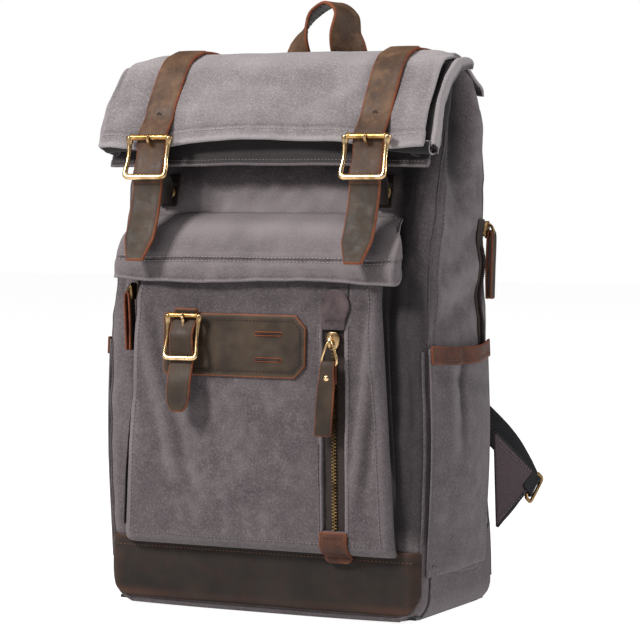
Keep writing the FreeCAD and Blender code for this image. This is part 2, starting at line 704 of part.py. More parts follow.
def leather_pull(width, thick, length):
    """Leather folded round the pin, hanging down."""
    y, z = -PIN_OUT, -4
    tab = box((-width / 2, width / 2), (y - EYE_RADIUS, y - EYE_RADIUS + thick), (z - length, z))
    return pull_eye(width).fuse(tab).cut(pin_hole()).removeSplitter()


def back_zip_slider():
    return placed(slider_shape(), *BACK_SLIDER)


def back_zip_pull():
    return placed(leather_pull(5.0, 3.0, 52), *BACK_SLIDER)


def pocket_zip_slider():
    return placed(slider_shape(), *SIDE_SLIDER)


def pocket_zip_pull():
    return placed(leather_pull(5.0, 2.4, 40), *SIDE_SLIDER)


# ---------------------------------------------------------------- handle, yoke and shoulder straps
HANDLE_HINGE = (SHOULDER[0] + 1.6, SHOULDER[1] - 3.0)
YOKE_LOW = RIDGE_HEIGHT - 62
YOKE_CLEARANCE = 23.0


def strap_yoke():
    """Leather patch on the back that holds the handle and both shoulder straps."""
    low = (at_height(BACK_LINE, YOKE_LOW), YOKE_LOW)
    high = (at_height(BACK_LINE, SHOULDER[1] - 10), SHOULDER[1] - 10)
    half = STRAP_X - YOKE_CLEARANCE
    plate = layer([high, low], GAP, GAP + 2.2, -half, half)
    root = box((34, 56), (low[0] - 2, low[0] + 16), (YOKE_LOW, YOKE_LOW + 7))
    root = root.cut(layer([SHOULDER, (BACK, 3.5)], -40, GAP, -HALF, HALF))
    return plate.multiFuse([root, mirrored(root)]).removeSplitter()


def carry_handle():
    """Leather loop that stands up from the yoke; its legs turn as they rise."""
    y, z = HANDLE_HINGE
    rise, half, thick = HANDLE_HEIGHT, 12.0, 1.6
    sections = []
    for step in range(0, 13):
        turn = math.pi * step / 12
        across = -math.cos(turn)
        up = min(math.sin(turn) * 1.25, 1.0)
        twist = math.sin(turn)
        wide = FreeCAD.Vector(across * (1 - twist) * -1, 0.25 + 0.75 * twist, 0)
        wide.normalize()
        along = FreeCAD.Vector(math.sin(turn), 0, math.cos(turn) * 1.6)
        along.normalize()
        flat = along.cross(wide)
        flat.normalize()
        centre = (21 * across, y + 2 + half * (0.3 + 0.7 * twist), z + rise * up)
        sections.append((centre, wide * half, flat * thick))
    return ribbon(sections)


STRAP_TOP = (45.0, at_height(BACK_LINE, YOKE_LOW) + 10.5, YOKE_LOW - 1.2)
RING_AT = (HALF + 17.6, BACK + 40.6, 88.0)
RING_ALONG = (0.04, 0.80, 0.60)
RING_ACROSS = (0.41, 0.53, -0.74)


def strap_frame(start, end, lean):
    """Width and thickness directions of a strap that runs between two points, its width near lean."""
    along = FreeCAD.Vector(*end) - FreeCAD.Vector(*start)
    along.normalize()
    wide = lean - along * along.dot(lean)
    wide.normalize()
    return wide, along.cross(wide)


def band_through(points, half_widths, half_thick, level_top=False, end_lean=(1, 0, 0)):
    """A strap through points with a half width at each; a level top starts square to the bag."""
    sections = []
    across, last = FreeCAD.Vector(1, 0, 0), FreeCAD.Vector(*end_lean)
    for index, point in enumerate(points):
        before = points[max(index - 1, 0)]
        after = points[min(index + 1, len(points) - 1)]
        share = index / (len(points) - 1)
        wide, flat = strap_frame(before, after, across * (1 - share) + last * share)
        if level_top and index == 0:
            wide, flat = FreeCAD.Vector(1, 0, 0), FreeCAD.Vector(0, 1, 0)
        sections.append((point, wide * half_widths[index], flat * half_thick))
    return ribbon(sections)


def shoulder_strap():
    """Padded strap, narrow at the yoke and bowed off the back."""
    x, y, z = STRAP_TOP
    points = [(x, y, z), (x + 2, y + 12, z - 25), (x + 7, y + 26, z - 62), (x + 14, y + 34, z - 105),
              (x + 24, y + 37, z - 148), (x + 33, y + 36, z - 184)]
    return band_through(points, [11, 18, 25, 26, 25, 15], 4.0, level_top=True)


def strap_webbing():
    """Webbing from the pad's foot down to the ring."""
    x, y, z = STRAP_TOP
    rx, ry, rz = RING_AT
    points = [(x + 33.8, y + 36.0, z - 186.6), (x + 44.0, y + 45.0, z - 214.0), (rx - 31.0, ry + 1.0, rz + 41.0),
              (rx - 15.0, ry + 2.0, rz + 21.0), (rx - 4.4, ry + 2.8, rz + 3.2)]
    return band_through(points, [12] * len(points), 1.2, end_lean=RING_ALONG)


def strap_ring():
    """Rectangular wire ring that joins the webbing to the wing."""
    x, y, z = RING_AT
    right = FreeCAD.Vector(*RING_ACROSS)
    right.normalize()
    along = FreeCAD.Vector(*RING_ALONG)
    along.normalize()
    centre = FreeCAD.Vector(x, y, z)
    half, reach, radius = 14.5, 3.4, 1.5
    corners = [centre + along * a * half + right * b * reach for a, b in ((-1, -1), (1, -1), (1, 1), (-1, 1))]
    ring = None
    for start, end in zip(corners, corners[1:] + corners[:1]):
        piece = rod(tuple(start), tuple(end), radius)
        ball = Part.makeSphere(radius, start)
        ring = piece.fuse(ball) if ring is None else ring.multiFuse([piece, ball])
    return ring.removeSplitter()


def strap_wings():
    """Triangular patches sewn at the back corners; the rings hang at their tips."""
    high = FreeCAD.Vector(HALF + 0.6, BACK - 4.0, 137.0)
    low = FreeCAD.Vector(HALF + 0.6, BACK + 1.5, 60.0)
    tip = FreeCAD.Vector(*RING_AT) - FreeCAD.Vector(*RING_ACROSS) * 6.6
    normal = (low - high).cross(tip - high)
    normal.normalize()
    edge = FreeCAD.Vector(*RING_ALONG)
    edge = edge - normal * edge.dot(normal)
    edge.normalize()
    outline = [high, low, tip - edge * 10, tip + edge * 10]
    face = Part.Face(Part.makePolygon(outline + outline[:1]))
    wing = face.extrude(normal * 2.2)
    return group([wing, mirrored(wing)])


# ---------------------------------------------------------------- write every node
def nodes():
    side = side_panel()
    strap = flap_strap().cut(prong_slot(STRAP_X, 9.8))
    tail = strap_tail()
    pad, webbing, ring = shoulder_strap(), strap_webbing(), strap_ring()
    pocket = side_pocket()
    return {
        "front_panel": front_panel(),
        "back_panel": back_panel(),
        "side_panel_right": side,
        "side_panel_left": mirrored(side),
        "base_panel": base_panel(),
        "base_board": base_board(),
        "leather_base_band": leather_base_band(),
        "edge_piping": edge_piping(),
        "laptop_divider": laptop_divider(),
        "main_lining": main_lining(),
        "lid_panel": lid_panel(),
        "lid_straps": lid_straps(),
        "roll_flap": roll_flap(),
        "front_collar": front_collar(),
        "collar_facing": collar_facing(),
        "strap_roots": strap_roots(),
        "flap_strap_right": strap,
        "flap_strap_left": mirrored(strap),
        "strap_tail_right": tail,
        "strap_tail_left": mirrored(tail),
        "buckle_frame_right": strap_buckle(STRAP_X),
        "buckle_frame_left": strap_buckle(-STRAP_X),
        "buckle_prong_right": strap_prong(STRAP_X),
        "buckle_prong_left": strap_prong(-STRAP_X),
        "chape_right": chape(STRAP_X),
        "chape_left": chape(-STRAP_X),
        "snap_stud_right": snap_stud(STRAP_X),
        "snap_stud_left": snap_stud(-STRAP_X),
        "anchor_tabs": anchor_tabs(),
        "snap_sockets": snap_sockets(),
        "pocket_front": pocket_front(),
        "pocket_gusset": pocket_gusset(),
        "pocket_flap": pocket_flap(),
        "zip_tapes": zip_tapes(),
        "zip_teeth": zip_teeth(),
        "front_zip_patches": front_zip_patches(),
        "front_zip_slider": front_zip_slider(),
        "front_zip_bail": front_zip_bail(),
        "front_zip_tab": front_zip_tab(),
        "front_zip_rivet": front_zip_rivet(),
        "leather_patch": leather_patch(),
        "patch_strap": patch_strap(),
        "patch_buckle": patch_buckle(),
        "patch_prong": patch_prong(),
        "side_pocket_right": pocket,
        "side_pocket_left": mirrored(pocket),
        "side_pocket_bands": side_pocket_bands(),
        "back_zip_slider": back_zip_slider(),
        "back_zip_pull": back_zip_pull(),
        "pocket_zip_slider": pocket_zip_slider(),
        "pocket_zip_pull": pocket_zip_pull(),
        "strap_yoke": strap_yoke(),
        "carry_handle": carry_handle(),
        "shoulder_strap_right": pad,
        "shoulder_strap_left": mirrored(pad),
        "strap_webbing_right": webbing,
        "strap_webbing_left": mirrored(webbing),
        "strap_ring_right": ring,
        "strap_ring_left": mirrored(ring),
        "strap_wings": strap_wings(),
    }


def main():
    os.makedirs("parts", exist_ok=True)
    for name, shape in nodes().items():
        print(name, len(shape.Solids), round(shape.Volume / 1000, 2), shape.isValid())
        shape.exportStep("parts/" + name + ".step")


if __name__ == "__main__":
    main()
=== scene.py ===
import math

import bpy
import numpy as np
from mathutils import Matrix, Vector, noise


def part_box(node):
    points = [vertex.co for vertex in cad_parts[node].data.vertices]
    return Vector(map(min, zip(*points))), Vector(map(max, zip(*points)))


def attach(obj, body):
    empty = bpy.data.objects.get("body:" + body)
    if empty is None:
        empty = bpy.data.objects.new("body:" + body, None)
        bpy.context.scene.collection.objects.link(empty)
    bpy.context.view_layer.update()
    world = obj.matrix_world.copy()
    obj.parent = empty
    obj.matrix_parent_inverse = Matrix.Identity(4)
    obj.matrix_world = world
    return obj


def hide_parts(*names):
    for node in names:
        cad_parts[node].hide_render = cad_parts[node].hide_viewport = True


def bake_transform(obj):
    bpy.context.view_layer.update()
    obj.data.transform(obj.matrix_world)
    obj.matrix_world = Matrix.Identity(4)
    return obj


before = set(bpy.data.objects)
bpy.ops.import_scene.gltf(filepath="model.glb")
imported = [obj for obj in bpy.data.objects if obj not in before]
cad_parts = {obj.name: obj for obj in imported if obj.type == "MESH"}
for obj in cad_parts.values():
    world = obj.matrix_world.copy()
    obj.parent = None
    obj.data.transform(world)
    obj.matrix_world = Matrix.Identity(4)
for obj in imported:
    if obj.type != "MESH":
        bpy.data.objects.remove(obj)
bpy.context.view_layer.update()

# Everything below is in millimetres and is turned into metres when a mesh is made.
MM = 0.001


def span(node):
    """Lowest and highest corners of a CAD node, in millimetres."""
    low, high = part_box(node)
    return np.array(low) / MM, np.array(high) / MM


# ---------------------------------------------------------------- places read from the frame
SIDE_LOW, SIDE_HIGH = span("side_panel_right")
LID_LOW, LID_HIGH = span("lid_panel")
_, FLAP_HIGH = span("roll_flap")
POCKET_LOW, POCKET_HIGH = span("pocket_front")
_, POCKET_FLAP_HIGH = span("pocket_flap")
BAND_LOW, BAND_HIGH = span("leather_base_band")
HALF = SIDE_HIGH[0]
FRONT, BACK = SIDE_LOW[1], SIDE_HIGH[1]
RIDGE_Z = LID_HIGH[2]
RIDGE_Y = LID_LOW[1] - 0.3
LID_BACK = (LID_HIGH[1] + 0.3, RIDGE_Z - 9.0)
SHOULDER = (BACK - 27.5, RIDGE_Z - 16.0)
FLAP_HALF = FLAP_HIGH[0]
POCKET_FACE = POCKET_LOW[1]
POCKET_TOP = POCKET_HIGH[2] - 1.0
POCKET_BOTTOM = POCKET_LOW[2]
FRONT_LINE = [(FRONT, 0.0), (FRONT, RIDGE_Z - 225), (FRONT + 5, RIDGE_Z - 178), (FRONT + 16, RIDGE_Z - 138),
              (FRONT + 29, RIDGE_Z - 97), (FRONT + 48, RIDGE_Z - 22)]
BACK_LINE = [(BACK, 0.0), SHOULDER]
WORDS = {-1: "left", 1: "right"}
# Pairs of (y, z) places by the lid's fold and by the ridge.
LID_FOLD = ((LID_BACK[0] + 9, 430.0), (LID_BACK[0] - 9, 430.0))
RIDGE_FOLD = ((RIDGE_Y + 8, 440.0), (RIDGE_Y - 8, 430.0))


# ---------------------------------------------------------------- small maths
def smooth(low, high, value):
    """0 below low, 1 above high, and a soft step between."""
    t = np.clip((value - low) / (high - low), 0.0, 1.0)
    return t * t * (3 - 2 * t)


def bump(value, centre, width):
    """1 at the centre, falling off like a bell."""
    return math.exp(-((value - centre) / width) ** 2)


def rough(x, y, z, size, seed=0.0):
    """Smooth noise of about unit height whose lumps are about size millimetres across."""
    return noise.noise(Vector((x / size + seed, y / size - seed * 1.7, z / size + seed * 0.6)))


def on_line(line, z):
    """The y of a (y, z) line at height z, with its corners rounded."""
    reach = 16.0
    total = 0.0
    for shift in (-1.0, -0.5, 0.0, 0.5, 1.0):
        total += np.interp(z + shift * reach, [p[1] for p in line], [p[0] for p in line])
    return float(total / 5)


def curve(points, count, closed=False):
    """Evenly spaced points on a smooth curve through the given ones."""
    given = [np.array(p, float) for p in points]
    size = len(given)
    fine = []
    for index in range(size if closed else size - 1):
        if closed:
            a, b, c, d = (given[(index + k) % size] for k in (-1, 0, 1, 2))
        else:
            b, c = given[index], given[index + 1]
            a = given[index - 1] if index else 2 * b - c
            d = given[index + 2] if index + 2 < size else 2 * c - b
        for step in range(16):
            t = step / 16
            fine.append(0.5 * (2 * b + (c - a) * t + (2 * a - 5 * b + 4 * c - d) * t * t
                               + (3 * b - a - 3 * c + d) * t ** 3))
    fine.append(given[0] if closed else given[-1])
    fine = np.array(fine)
    run = np.concatenate([[0], np.cumsum(np.linalg.norm(np.diff(fine, axis=0), axis=1))])
    wanted = np.linspace(0, run[-1], count + 1 if closed else count)
    if closed:
        wanted = wanted[:-1]
    return np.stack([np.interp(wanted, run, fine[:, k]) for k in range(fine.shape[1])], axis=1)


def circle(x, y, z, radius, count):
    """Points of an upright circle that faces the front."""
    turns = np.linspace(0, 2 * math.pi, count + 1)[:-1]
    return [(x + radius * math.cos(t), y, z + radius * math.sin(t)) for t in turns]


def unit(vector):
    length = np.linalg.norm(vector, axis=-1, keepdims=True)
    return vector / np.maximum(length, 1e-9)


# ---------------------------------------------------------------- mesh tools
def curvature_shade(mesh):
    """Painted light on ridges and painted shade in hollows, from the mesh's own curvature."""
    count = len(mesh.vertices)
    ends = np.empty(len(mesh.edges) * 2, np.int64)
    mesh.edges.foreach_get("vertices", ends)
    first, second = ends[0::2], ends[1::2]
    place = np.empty(count * 3)
    mesh.vertices.foreach_get("co", place)
    place = place.reshape(-1, 3) / MM
    normal = np.empty(count * 3)
    mesh.vertex_normals.foreach_get("vector", normal)
    normal = normal.reshape(-1, 3)

    def gathered(values):
        total = np.zeros((count,) + values.shape[1:])
        np.add.at(total, first, values[second])
        np.add.at(total, second, values[first])
        return total
    near = np.maximum(gathered(np.ones(count)), 1)
    step = np.zeros(count)
    length = np.linalg.norm(place[first] - place[second], axis=1)
    np.add.at(step, first, length ** 2)
    np.add.at(step, second, length ** 2)
    bend = -np.sum((gathered(place) / near[:, None] - place) * normal, axis=1) * 4 / np.maximum(step / near,
                                                                                                0.2)
    bend = np.clip(bend, -0.16, 0.16)
    for _ in range(2):
        bend = (bend + gathered(bend) / near) / 2
    return np.clip(bend * 3.0, -0.34, 0.16)


def piece(name, vertices, faces, materials, face_material=None, smoothed=True, shade=None):
    """A mesh object from millimetre vertices."""
    mesh = bpy.data.meshes.new(name)
    mesh.from_pydata((np.asarray(vertices, float) * MM).tolist(), [], [tuple(f) for f in faces])
    for material in materials:
        mesh.materials.append(material)
    if face_material is not None:
        mesh.polygons.foreach_set("material_index", np.asarray(face_material, np.int32))
    mesh.polygons.foreach_set("use_smooth", [smoothed] * len(mesh.polygons))
    mesh.update()
    # Canvas pieces always get the shade attribute: painted light and shade from their tones and their curvature.
    if shade is not None or any(m.name.startswith("canvas") for m in materials):
        tone = np.zeros(len(mesh.vertices)) if shade is None else np.asarray(shade, float)
        layer = mesh.attributes.new("shade", "FLOAT", "POINT")
        layer.data.foreach_set("value", (tone + curvature_shade(mesh)).astype(np.float32))
    thing = bpy.data.objects.new(name, mesh)
    bpy.context.scene.collection.objects.link(thing)
    return thing


def finish_piece(thing, body, replaced=()):
    """Give a finished piece its body and the nodes that it stands for."""
    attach(thing, body)
    if replaced:
        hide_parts(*replaced)
    return thing


def bridge(thing, slot, near, far, start, end, replaced=()):
    """A soft piece: hides the nodes that it stands for and bakes its placement into its mesh."""
    if replaced:
        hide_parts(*replaced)
    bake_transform(thing)


def grid_faces(rows, columns, wrap=False):
    faces = []
    across = columns if wrap else columns - 1
    for r in range(rows - 1):
        for c in range(across):
            d = (c + 1) % columns
            faces.append((r * columns + c, r * columns + d, (r + 1) * columns + d, (r + 1) * columns + c))
    return faces


def grid_normals(points):
    """Unit normals of a (rows, columns, 3) grid, along row step x column step."""
    down = np.gradient(points, axis=0)
    over = np.gradient(points, axis=1)
    return unit(np.cross(over, down))


def thick_sheet(points, thickness, flip=False):
    """Vertices, faces and face kinds (0 outer, 1 inner, 2 rim) of a sheet centred on a grid, its rim rounded."""
    rows, columns, _ = points.shape
    normals = -grid_normals(points) if flip else grid_normals(points)
    half = thickness / 2 if np.isscalar(thickness) else thickness[..., None] / 2
    outer = (points + normals * half).reshape(-1, 3)
    inner = (points - normals * half).reshape(-1, 3)
    count = rows * columns
    faces = grid_faces(rows, columns)
    kinds = [0] * len(faces)
    back = [tuple(i + count for i in reversed(face)) for face in faces]
    faces = faces + back
    kinds += [1] * len(back)
    top = [(0, c) for c in range(columns)]
    right = [(r, columns - 1) for r in range(1, rows)]
    low = [(rows - 1, c) for c in range(columns - 2, -1, -1)]
    left = [(r, 0) for r in range(rows - 2, 0, -1)]
    loop = top + right + low + left
    edge = np.array([points[r, c] for r, c in loop])
    normal = np.array([normals[r, c] for r, c in loop])
    along = np.roll(edge, -1, axis=0) - np.roll(edge, 1, axis=0)
    outward = unit(np.cross(normal, along))
    centre = points.reshape(-1, 3).mean(axis=0)
    if np.sum(np.einsum("ij,ij->i", outward, edge - centre)) < 0:
        outward = -outward
    if np.isscalar(thickness):
        thin = np.full((len(loop), 1), thickness / 2)
    else:
        thin = np.array([[thickness[r, c] / 2] for r, c in loop])
    rings = [[r * columns + c for r, c in loop]]
    extra = []
    start = 2 * count
    for angle in (45, 90, 135):
        turn = math.radians(angle)
        extra.append(edge + normal * thin * math.cos(turn) + outward * thin * math.sin(turn))
        rings.append([start + i for i in range(len(loop))])
        start += len(loop)
    rings.append([r * columns + c + count for r, c in loop])
    for near, far in zip(rings, rings[1:]):
        for i in range(len(loop)):
            j = (i + 1) % len(loop)
            faces.append((near[j], near[i], far[i], far[j]))
            kinds.append(2)
    if flip:
        faces = [face[::-1] for face in faces]
    return np.concatenate([outer, inner] + extra), faces, kinds


def sheet(name, grid, thickness, materials, tones=None, rim=0.0, inner=None, flip=False):
    """A thick sheet as a piece. Tones shade both faces, or the outer one where the inner has its own."""
    vertices, faces, kinds = thick_sheet(np.asarray(grid, float), thickness, flip)
    if np.isscalar(tones):
        tones = np.full(len(vertices), tones)
    elif tones is not None:
        inner = tones if inner is None else inner
        tones = np.concatenate([tones, inner, np.full(len(vertices) - len(tones) - len(inner), rim)])
    return piece(name, vertices, faces, materials, kinds, shade=tones)


def tube(path, radius, sides=10, closed=False, flat=1.0, up=(0, 0, 1)):
    """Vertices and faces of a round or oval tube along a path."""
    path = np.asarray(path, float)
    count = len(path)
    if closed:
        along = unit(np.roll(path, -1, axis=0) - np.roll(path, 1, axis=0))
    else:
        along = unit(np.gradient(path, axis=0))
    radii = np.full(count, radius, float) if np.isscalar(radius) else np.asarray(radius, float)
    rings = []
    previous = np.array(up, float)
    for index in range(count):
        side = np.cross(along[index], previous)
        if np.linalg.norm(side) < 1e-3:
            side = np.cross(along[index], (0.3, 1, 0.2))
        side = unit(side)
        lift = np.cross(side, along[index])
        previous = lift
        for step in range(sides):
            angle = 2 * math.pi * step / sides
            rings.append(path[index] + radii[index] * (side * math.cos(angle) + flat * lift * math.sin(angle)))
    faces = grid_faces(count, sides, wrap=True)
    if closed:
        last = (count - 1) * sides
        for s in range(sides):
            t = (s + 1) % sides
            faces.append((last + s, last + t, t, s))
    else:
        faces.append(tuple(range(sides - 1, -1, -1)))
        faces.append(tuple((count - 1) * sides + s for s in range(sides)))
    return np.array(rings), faces


def joined(parts):
    """Several (vertices, faces) as one."""
    vertices, faces, offset = [], [], 0
    for points, polygons in parts:
        vertices.append(np.asarray(points, float))
        faces += [tuple(i + offset for i in polygon) for polygon in polygons]
        offset += len(points)
    return np.concatenate(vertices), faces


def stitches(name, lines, material, pitch, length, radius):
    """Rows of single stitches; each line is (points, normals) of a dense path on a surface."""
    parts = []
    lift = 0.15
    for points, normals in lines:
        points = np.asarray(points, float)
        normals = np.broadcast_to(np.asarray(normals, float), points.shape)
        run = np.concatenate([[0], np.cumsum(np.linalg.norm(np.diff(points, axis=0), axis=1))])
        count = int(run[-1] // pitch)
        for index in range(count):
            middle = (index + 0.5) * run[-1] / count
            ends = [middle - length / 2, middle, middle + length / 2]
            at = np.stack([np.interp(ends, run, points[:, k]) for k in range(3)], axis=1)
            up = unit(np.array([np.interp(middle, run, normals[:, k]) for k in range(3)]))
            along = unit(at[2] - at[0])
            side = unit(np.cross(along, up))
            rings = []
            for position, share in ((at[0], 0.45), (at[1] + up * radius * 0.5, 1.0), (at[2], 0.45)):
                for step in range(6):
                    angle = 2 * math.pi * step / 6
                    offset = side * math.cos(angle) + up * math.sin(angle) * 0.8
                    rings.append(position + up * lift + offset * radius * share)
            faces = grid_faces(3, 6, wrap=True) + [(5, 4, 3, 2, 1, 0), (12, 13, 14, 15, 16, 17)]
            parts.append((np.array(rings), faces))
    vertices, faces = joined(parts)
    return piece(name, vertices, faces, [material])


# ---------------------------------------------------------------- materials
def linear(r, g, b):
    """An sRGB colour, 0 to 255, as a linear colour."""
    def one(value):
        value /= 255
        return value / 12.92 if value <= 0.04045 else ((value + 0.055) / 1.055) ** 2.4
    return one(r), one(g), one(b), 1.0


class Shader:
    """A small builder for one procedural material."""

    def __init__(self, name, roughness, metallic=0.0, specular=0.5):
        self.material = bpy.data.materials.new(name)
        self.material.use_nodes = True
        self.tree = self.material.node_tree
        self.bsdf = self.tree.nodes["Principled BSDF"]
        self.bsdf.inputs["Roughness"].default_value = roughness
        self.bsdf.inputs["Metallic"].default_value = metallic
        self.bsdf.inputs["Specular IOR Level"].default_value = specular
        self.place = self.tree.nodes.new("ShaderNodeTexCoord").outputs["Object"]

    def node(self, kind, settings=None, **inputs):
        made = self.tree.nodes.new("ShaderNode" + kind)
        for key, value in (settings or {}).items():
            setattr(made, key, value)
        for key, value in inputs.items():
            socket = made.inputs[int(key[1:])] if key[0] == "_" and key[1:].isdigit() else made.inputs[key]
            if isinstance(value, bpy.types.NodeSocket):
                self.tree.links.new(value, socket)
            else:
                socket.default_value = value
        return made

    def stretched(self, x, y, z):
        return self.node("Mapping", Vector=self.place, Scale=(x, y, z)).outputs[0]

    def noise(self, size, detail=3.0, vector=None, rough=0.55):
        """Noise with lumps of about size millimetres."""
        made = self.node("TexNoise", Vector=vector or self.place, Scale=1 / (size * MM), Detail=detail,
                         Roughness=rough)
        return made.outputs["Fac"]

    def wave(self, size, direction, distortion=0.0, vector=None):
        """Bands that repeat every size millimetres."""
        turns = 2 * math.pi / (20 * size * MM)
        settings = {"wave_type": "BANDS", "bands_direction": direction}
        made = self.node("TexWave", settings, Vector=vector or self.place, Scale=turns, Distortion=distortion)
        made.inputs["Detail"].default_value = 0.0
        return made.outputs["Fac"]

    def cells(self, size, vector=None):
        made = self.node("TexVoronoi", Vector=vector or self.place, Scale=1 / (size * MM))
        return made.outputs["Distance"]

    def maths(self, operation, a, b=0.0, c=0.0):
        return self.node("Math", {"operation": operation}, _0=a, _1=b, _2=c).outputs[0]

    def scaled(self, value, low, high, to_low=0.0, to_high=1.0):
        inputs = {"From Min": low, "From Max": high, "To Min": to_low, "To Max": to_high}
        return self.node("MapRange", Value=value, **inputs).outputs[0]

    def mix(self, share, a, b):
        made = self.node("Mix", {"data_type": "RGBA"}, Factor=share)
        for socket, value in ((made.inputs[6], a), (made.inputs[7], b)):
            if isinstance(value, bpy.types.NodeSocket):
                self.tree.links.new(value, socket)
            else:
                socket.default_value = value
        return made.outputs[2]

    def colour(self, value):
        self.tree.links.new(value, self.bsdf.inputs["Base Color"])
        return self

    def roughness(self, value):
        self.tree.links.new(value, self.bsdf.inputs["Roughness"])
        return self

    def bump(self, *layers):
        """Stack bump layers, each (height, strength, depth in millimetres)."""
        normal = None
        for height, strength, depth in layers:
            made = self.node("Bump", Strength=strength, Distance=depth * MM, Height=height)
            if normal is not None:
                self.tree.links.new(normal, made.inputs["Normal"])
            normal = made.outputs[0]
        self.tree.links.new(normal, self.bsdf.inputs["Normal"])
        return self

    def attribute(self, name):
        return self.node("Attribute", {"attribute_name": name}).outputs["Fac"]


def canvas_material(name, dark, middle, light):
    """Washed cotton twill: slanted ribs, thread flecks and cloudy fading, with painted light on ridges and
    painted shade in creases.
    """
    s = Shader(name, roughness=0.92, specular=0.2)
    s.bsdf.inputs["Sheen Weight"].default_value = 0.08
    s.bsdf.inputs["Sheen Roughness"].default_value = 0.6
    ribs = s.wave(1.5, "DIAGONAL", 0.6)
    threads = s.noise(0.7, 2.0)
    flecks = s.noise(1.6, 3.0, rough=0.7)
    clouds = s.noise(42.0, 3.0)
    tone = s.mix(s.scaled(clouds, 0.3, 0.72, 0.3, 1.0), dark, middle)
    tone = s.mix(s.scaled(flecks, 0.45, 0.75, 0.0, 0.5), tone, light)
    tone = s.mix(s.scaled(threads, 0.35, 0.65, 0.0, 0.18), tone, dark)
    # The shade attribute lightens or darkens the cloth: painted light on ridges and lit places, and painted shade
    # down to near-black in creases, recesses and shadows.
    shade = s.attribute("shade")
    tone = s.mix(s.scaled(shade, 0.0, 1.0), tone, light)
    tone = s.mix(s.scaled(shade, 0.0, -1.0, 0.0, 0.92), tone,
                 (dark[0] * 0.12, dark[1] * 0.12, dark[2] * 0.12, 1))
    s.colour(tone)
    s.bump((clouds, 0.25, 2.0), (ribs, 0.5, 0.25), (threads, 0.45, 0.3))
    return s.material


def leather_material(name, dark, middle, light, scuffs=0.35, roughness=0.5):
    """Oiled pull-up leather: cloudy tone, fine pores, pale stretch marks and scratches."""
    s = Shader(name, roughness=roughness, specular=0.25)
    clouds = s.noise(26.0, 4.0)
    patches = s.noise(9.0, 4.0, rough=0.65)
    pores = s.cells(0.75)
    grain = s.noise(1.1, 3.0)
    streaks = s.noise(2.2, 3.0, s.stretched(1.0, 1.0, 0.12))
    tone = s.mix(s.scaled(clouds, 0.36, 0.66), dark, middle)
    tone = s.mix(s.scaled(patches, 0.5, 0.78, 0.0, scuffs * 1.6), tone, light)
    tone = s.mix(s.scaled(streaks, 0.6, 0.8, 0.0, scuffs), tone, light)
    tone = s.mix(s.scaled(grain, 0.3, 0.5, 0.25, 0.0), tone, dark)
    # The shade attribute lightens or darkens the leather; on the straps, chapes and tabs it is painted light and
    # painted shade.
    shade = s.attribute("shade")
    tone = s.mix(s.scaled(shade, 0.0, 1.0), tone, light)
    tone = s.mix(s.scaled(shade, 0.0, -1.0, 0.0, 0.8), tone, (dark[0] * 0.3, dark[1] * 0.3, dark[2] * 0.3, 1))
    s.colour(tone)
    s.roughness(s.scaled(patches, 0.3, 0.75, roughness - 0.1, roughness + 0.16))
    s.bump((clouds, 0.3, 0.8), (pores, 0.22, 0.16), (grain, 0.3, 0.16))
    return s.material


def metal_material(name, dark, bright, roughness):
    """Cast and polished brass with a little tarnish and fine wear."""
    s = Shader(name, roughness=roughness, metallic=1.0)
    clouds = s.noise(9.0, 4.0)
    specks = s.noise(0.9, 3.0)
    tone = s.mix(s.scaled(clouds, 0.35, 0.62), dark, bright)
    tone = s.mix(s.scaled(specks, 0.6, 0.85, 0.0, 0.35), tone, dark)
    s.colour(tone)
    s.roughness(s.scaled(clouds, 0.3, 0.7, roughness + 0.12, roughness - 0.04))
    s.bump((specks, 0.08, 0.05))
    return s.material


def woven_material(name, dark, light, pitch):
    """Ribbed tape or webbing."""
    s = Shader(name, roughness=0.85, specular=0.25)
    ribs = s.wave(pitch, "Z", 0.4)
    cross = s.wave(pitch * 0.7, "DIAGONAL", 0.4)
    clouds = s.noise(8.0, 3.0)
    weave = s.maths("MULTIPLY", ribs, cross)
    tone = s.mix(s.scaled(weave, 0.0, 0.8), dark, light)
    tone = s.mix(s.scaled(clouds, 0.5, 0.8, 0.0, 0.3), tone, light)
    s.colour(tone)
    s.bump((weave, 0.6, 0.35), (clouds, 0.1, 0.5))
    return s.material


def suede_material(name, dark, light):
    s = Shader(name, roughness=0.95, specular=0.15)
    s.bsdf.inputs["Sheen Weight"].default_value = 0.35
    s.bsdf.inputs["Sheen Roughness"].default_value = 0.5
    nap = s.noise(1.2, 4.0, rough=0.7)
    clouds = s.noise(14.0, 3.0)
    tone = s.mix(s.scaled(clouds, 0.35, 0.7), dark, light)
    tone = s.mix(s.scaled(nap, 0.5, 0.8, 0.0, 0.4), tone, light)
    s.colour(tone)
    s.bump((nap, 0.4, 0.3), (clouds, 0.2, 0.6))
    return s.material


def thread_material(name, dark, light):
    s = Shader(name, roughness=0.7, specular=0.3)
    twist = s.wave(0.6, "DIAGONAL", 0.3)
    s.colour(s.mix(twist, dark, light))
    s.bump((twist, 0.4, 0.1))
    return s.material


CANVAS = canvas_material("canvas", linear(58, 51, 53), linear(79, 71, 73), linear(124, 116, 118))
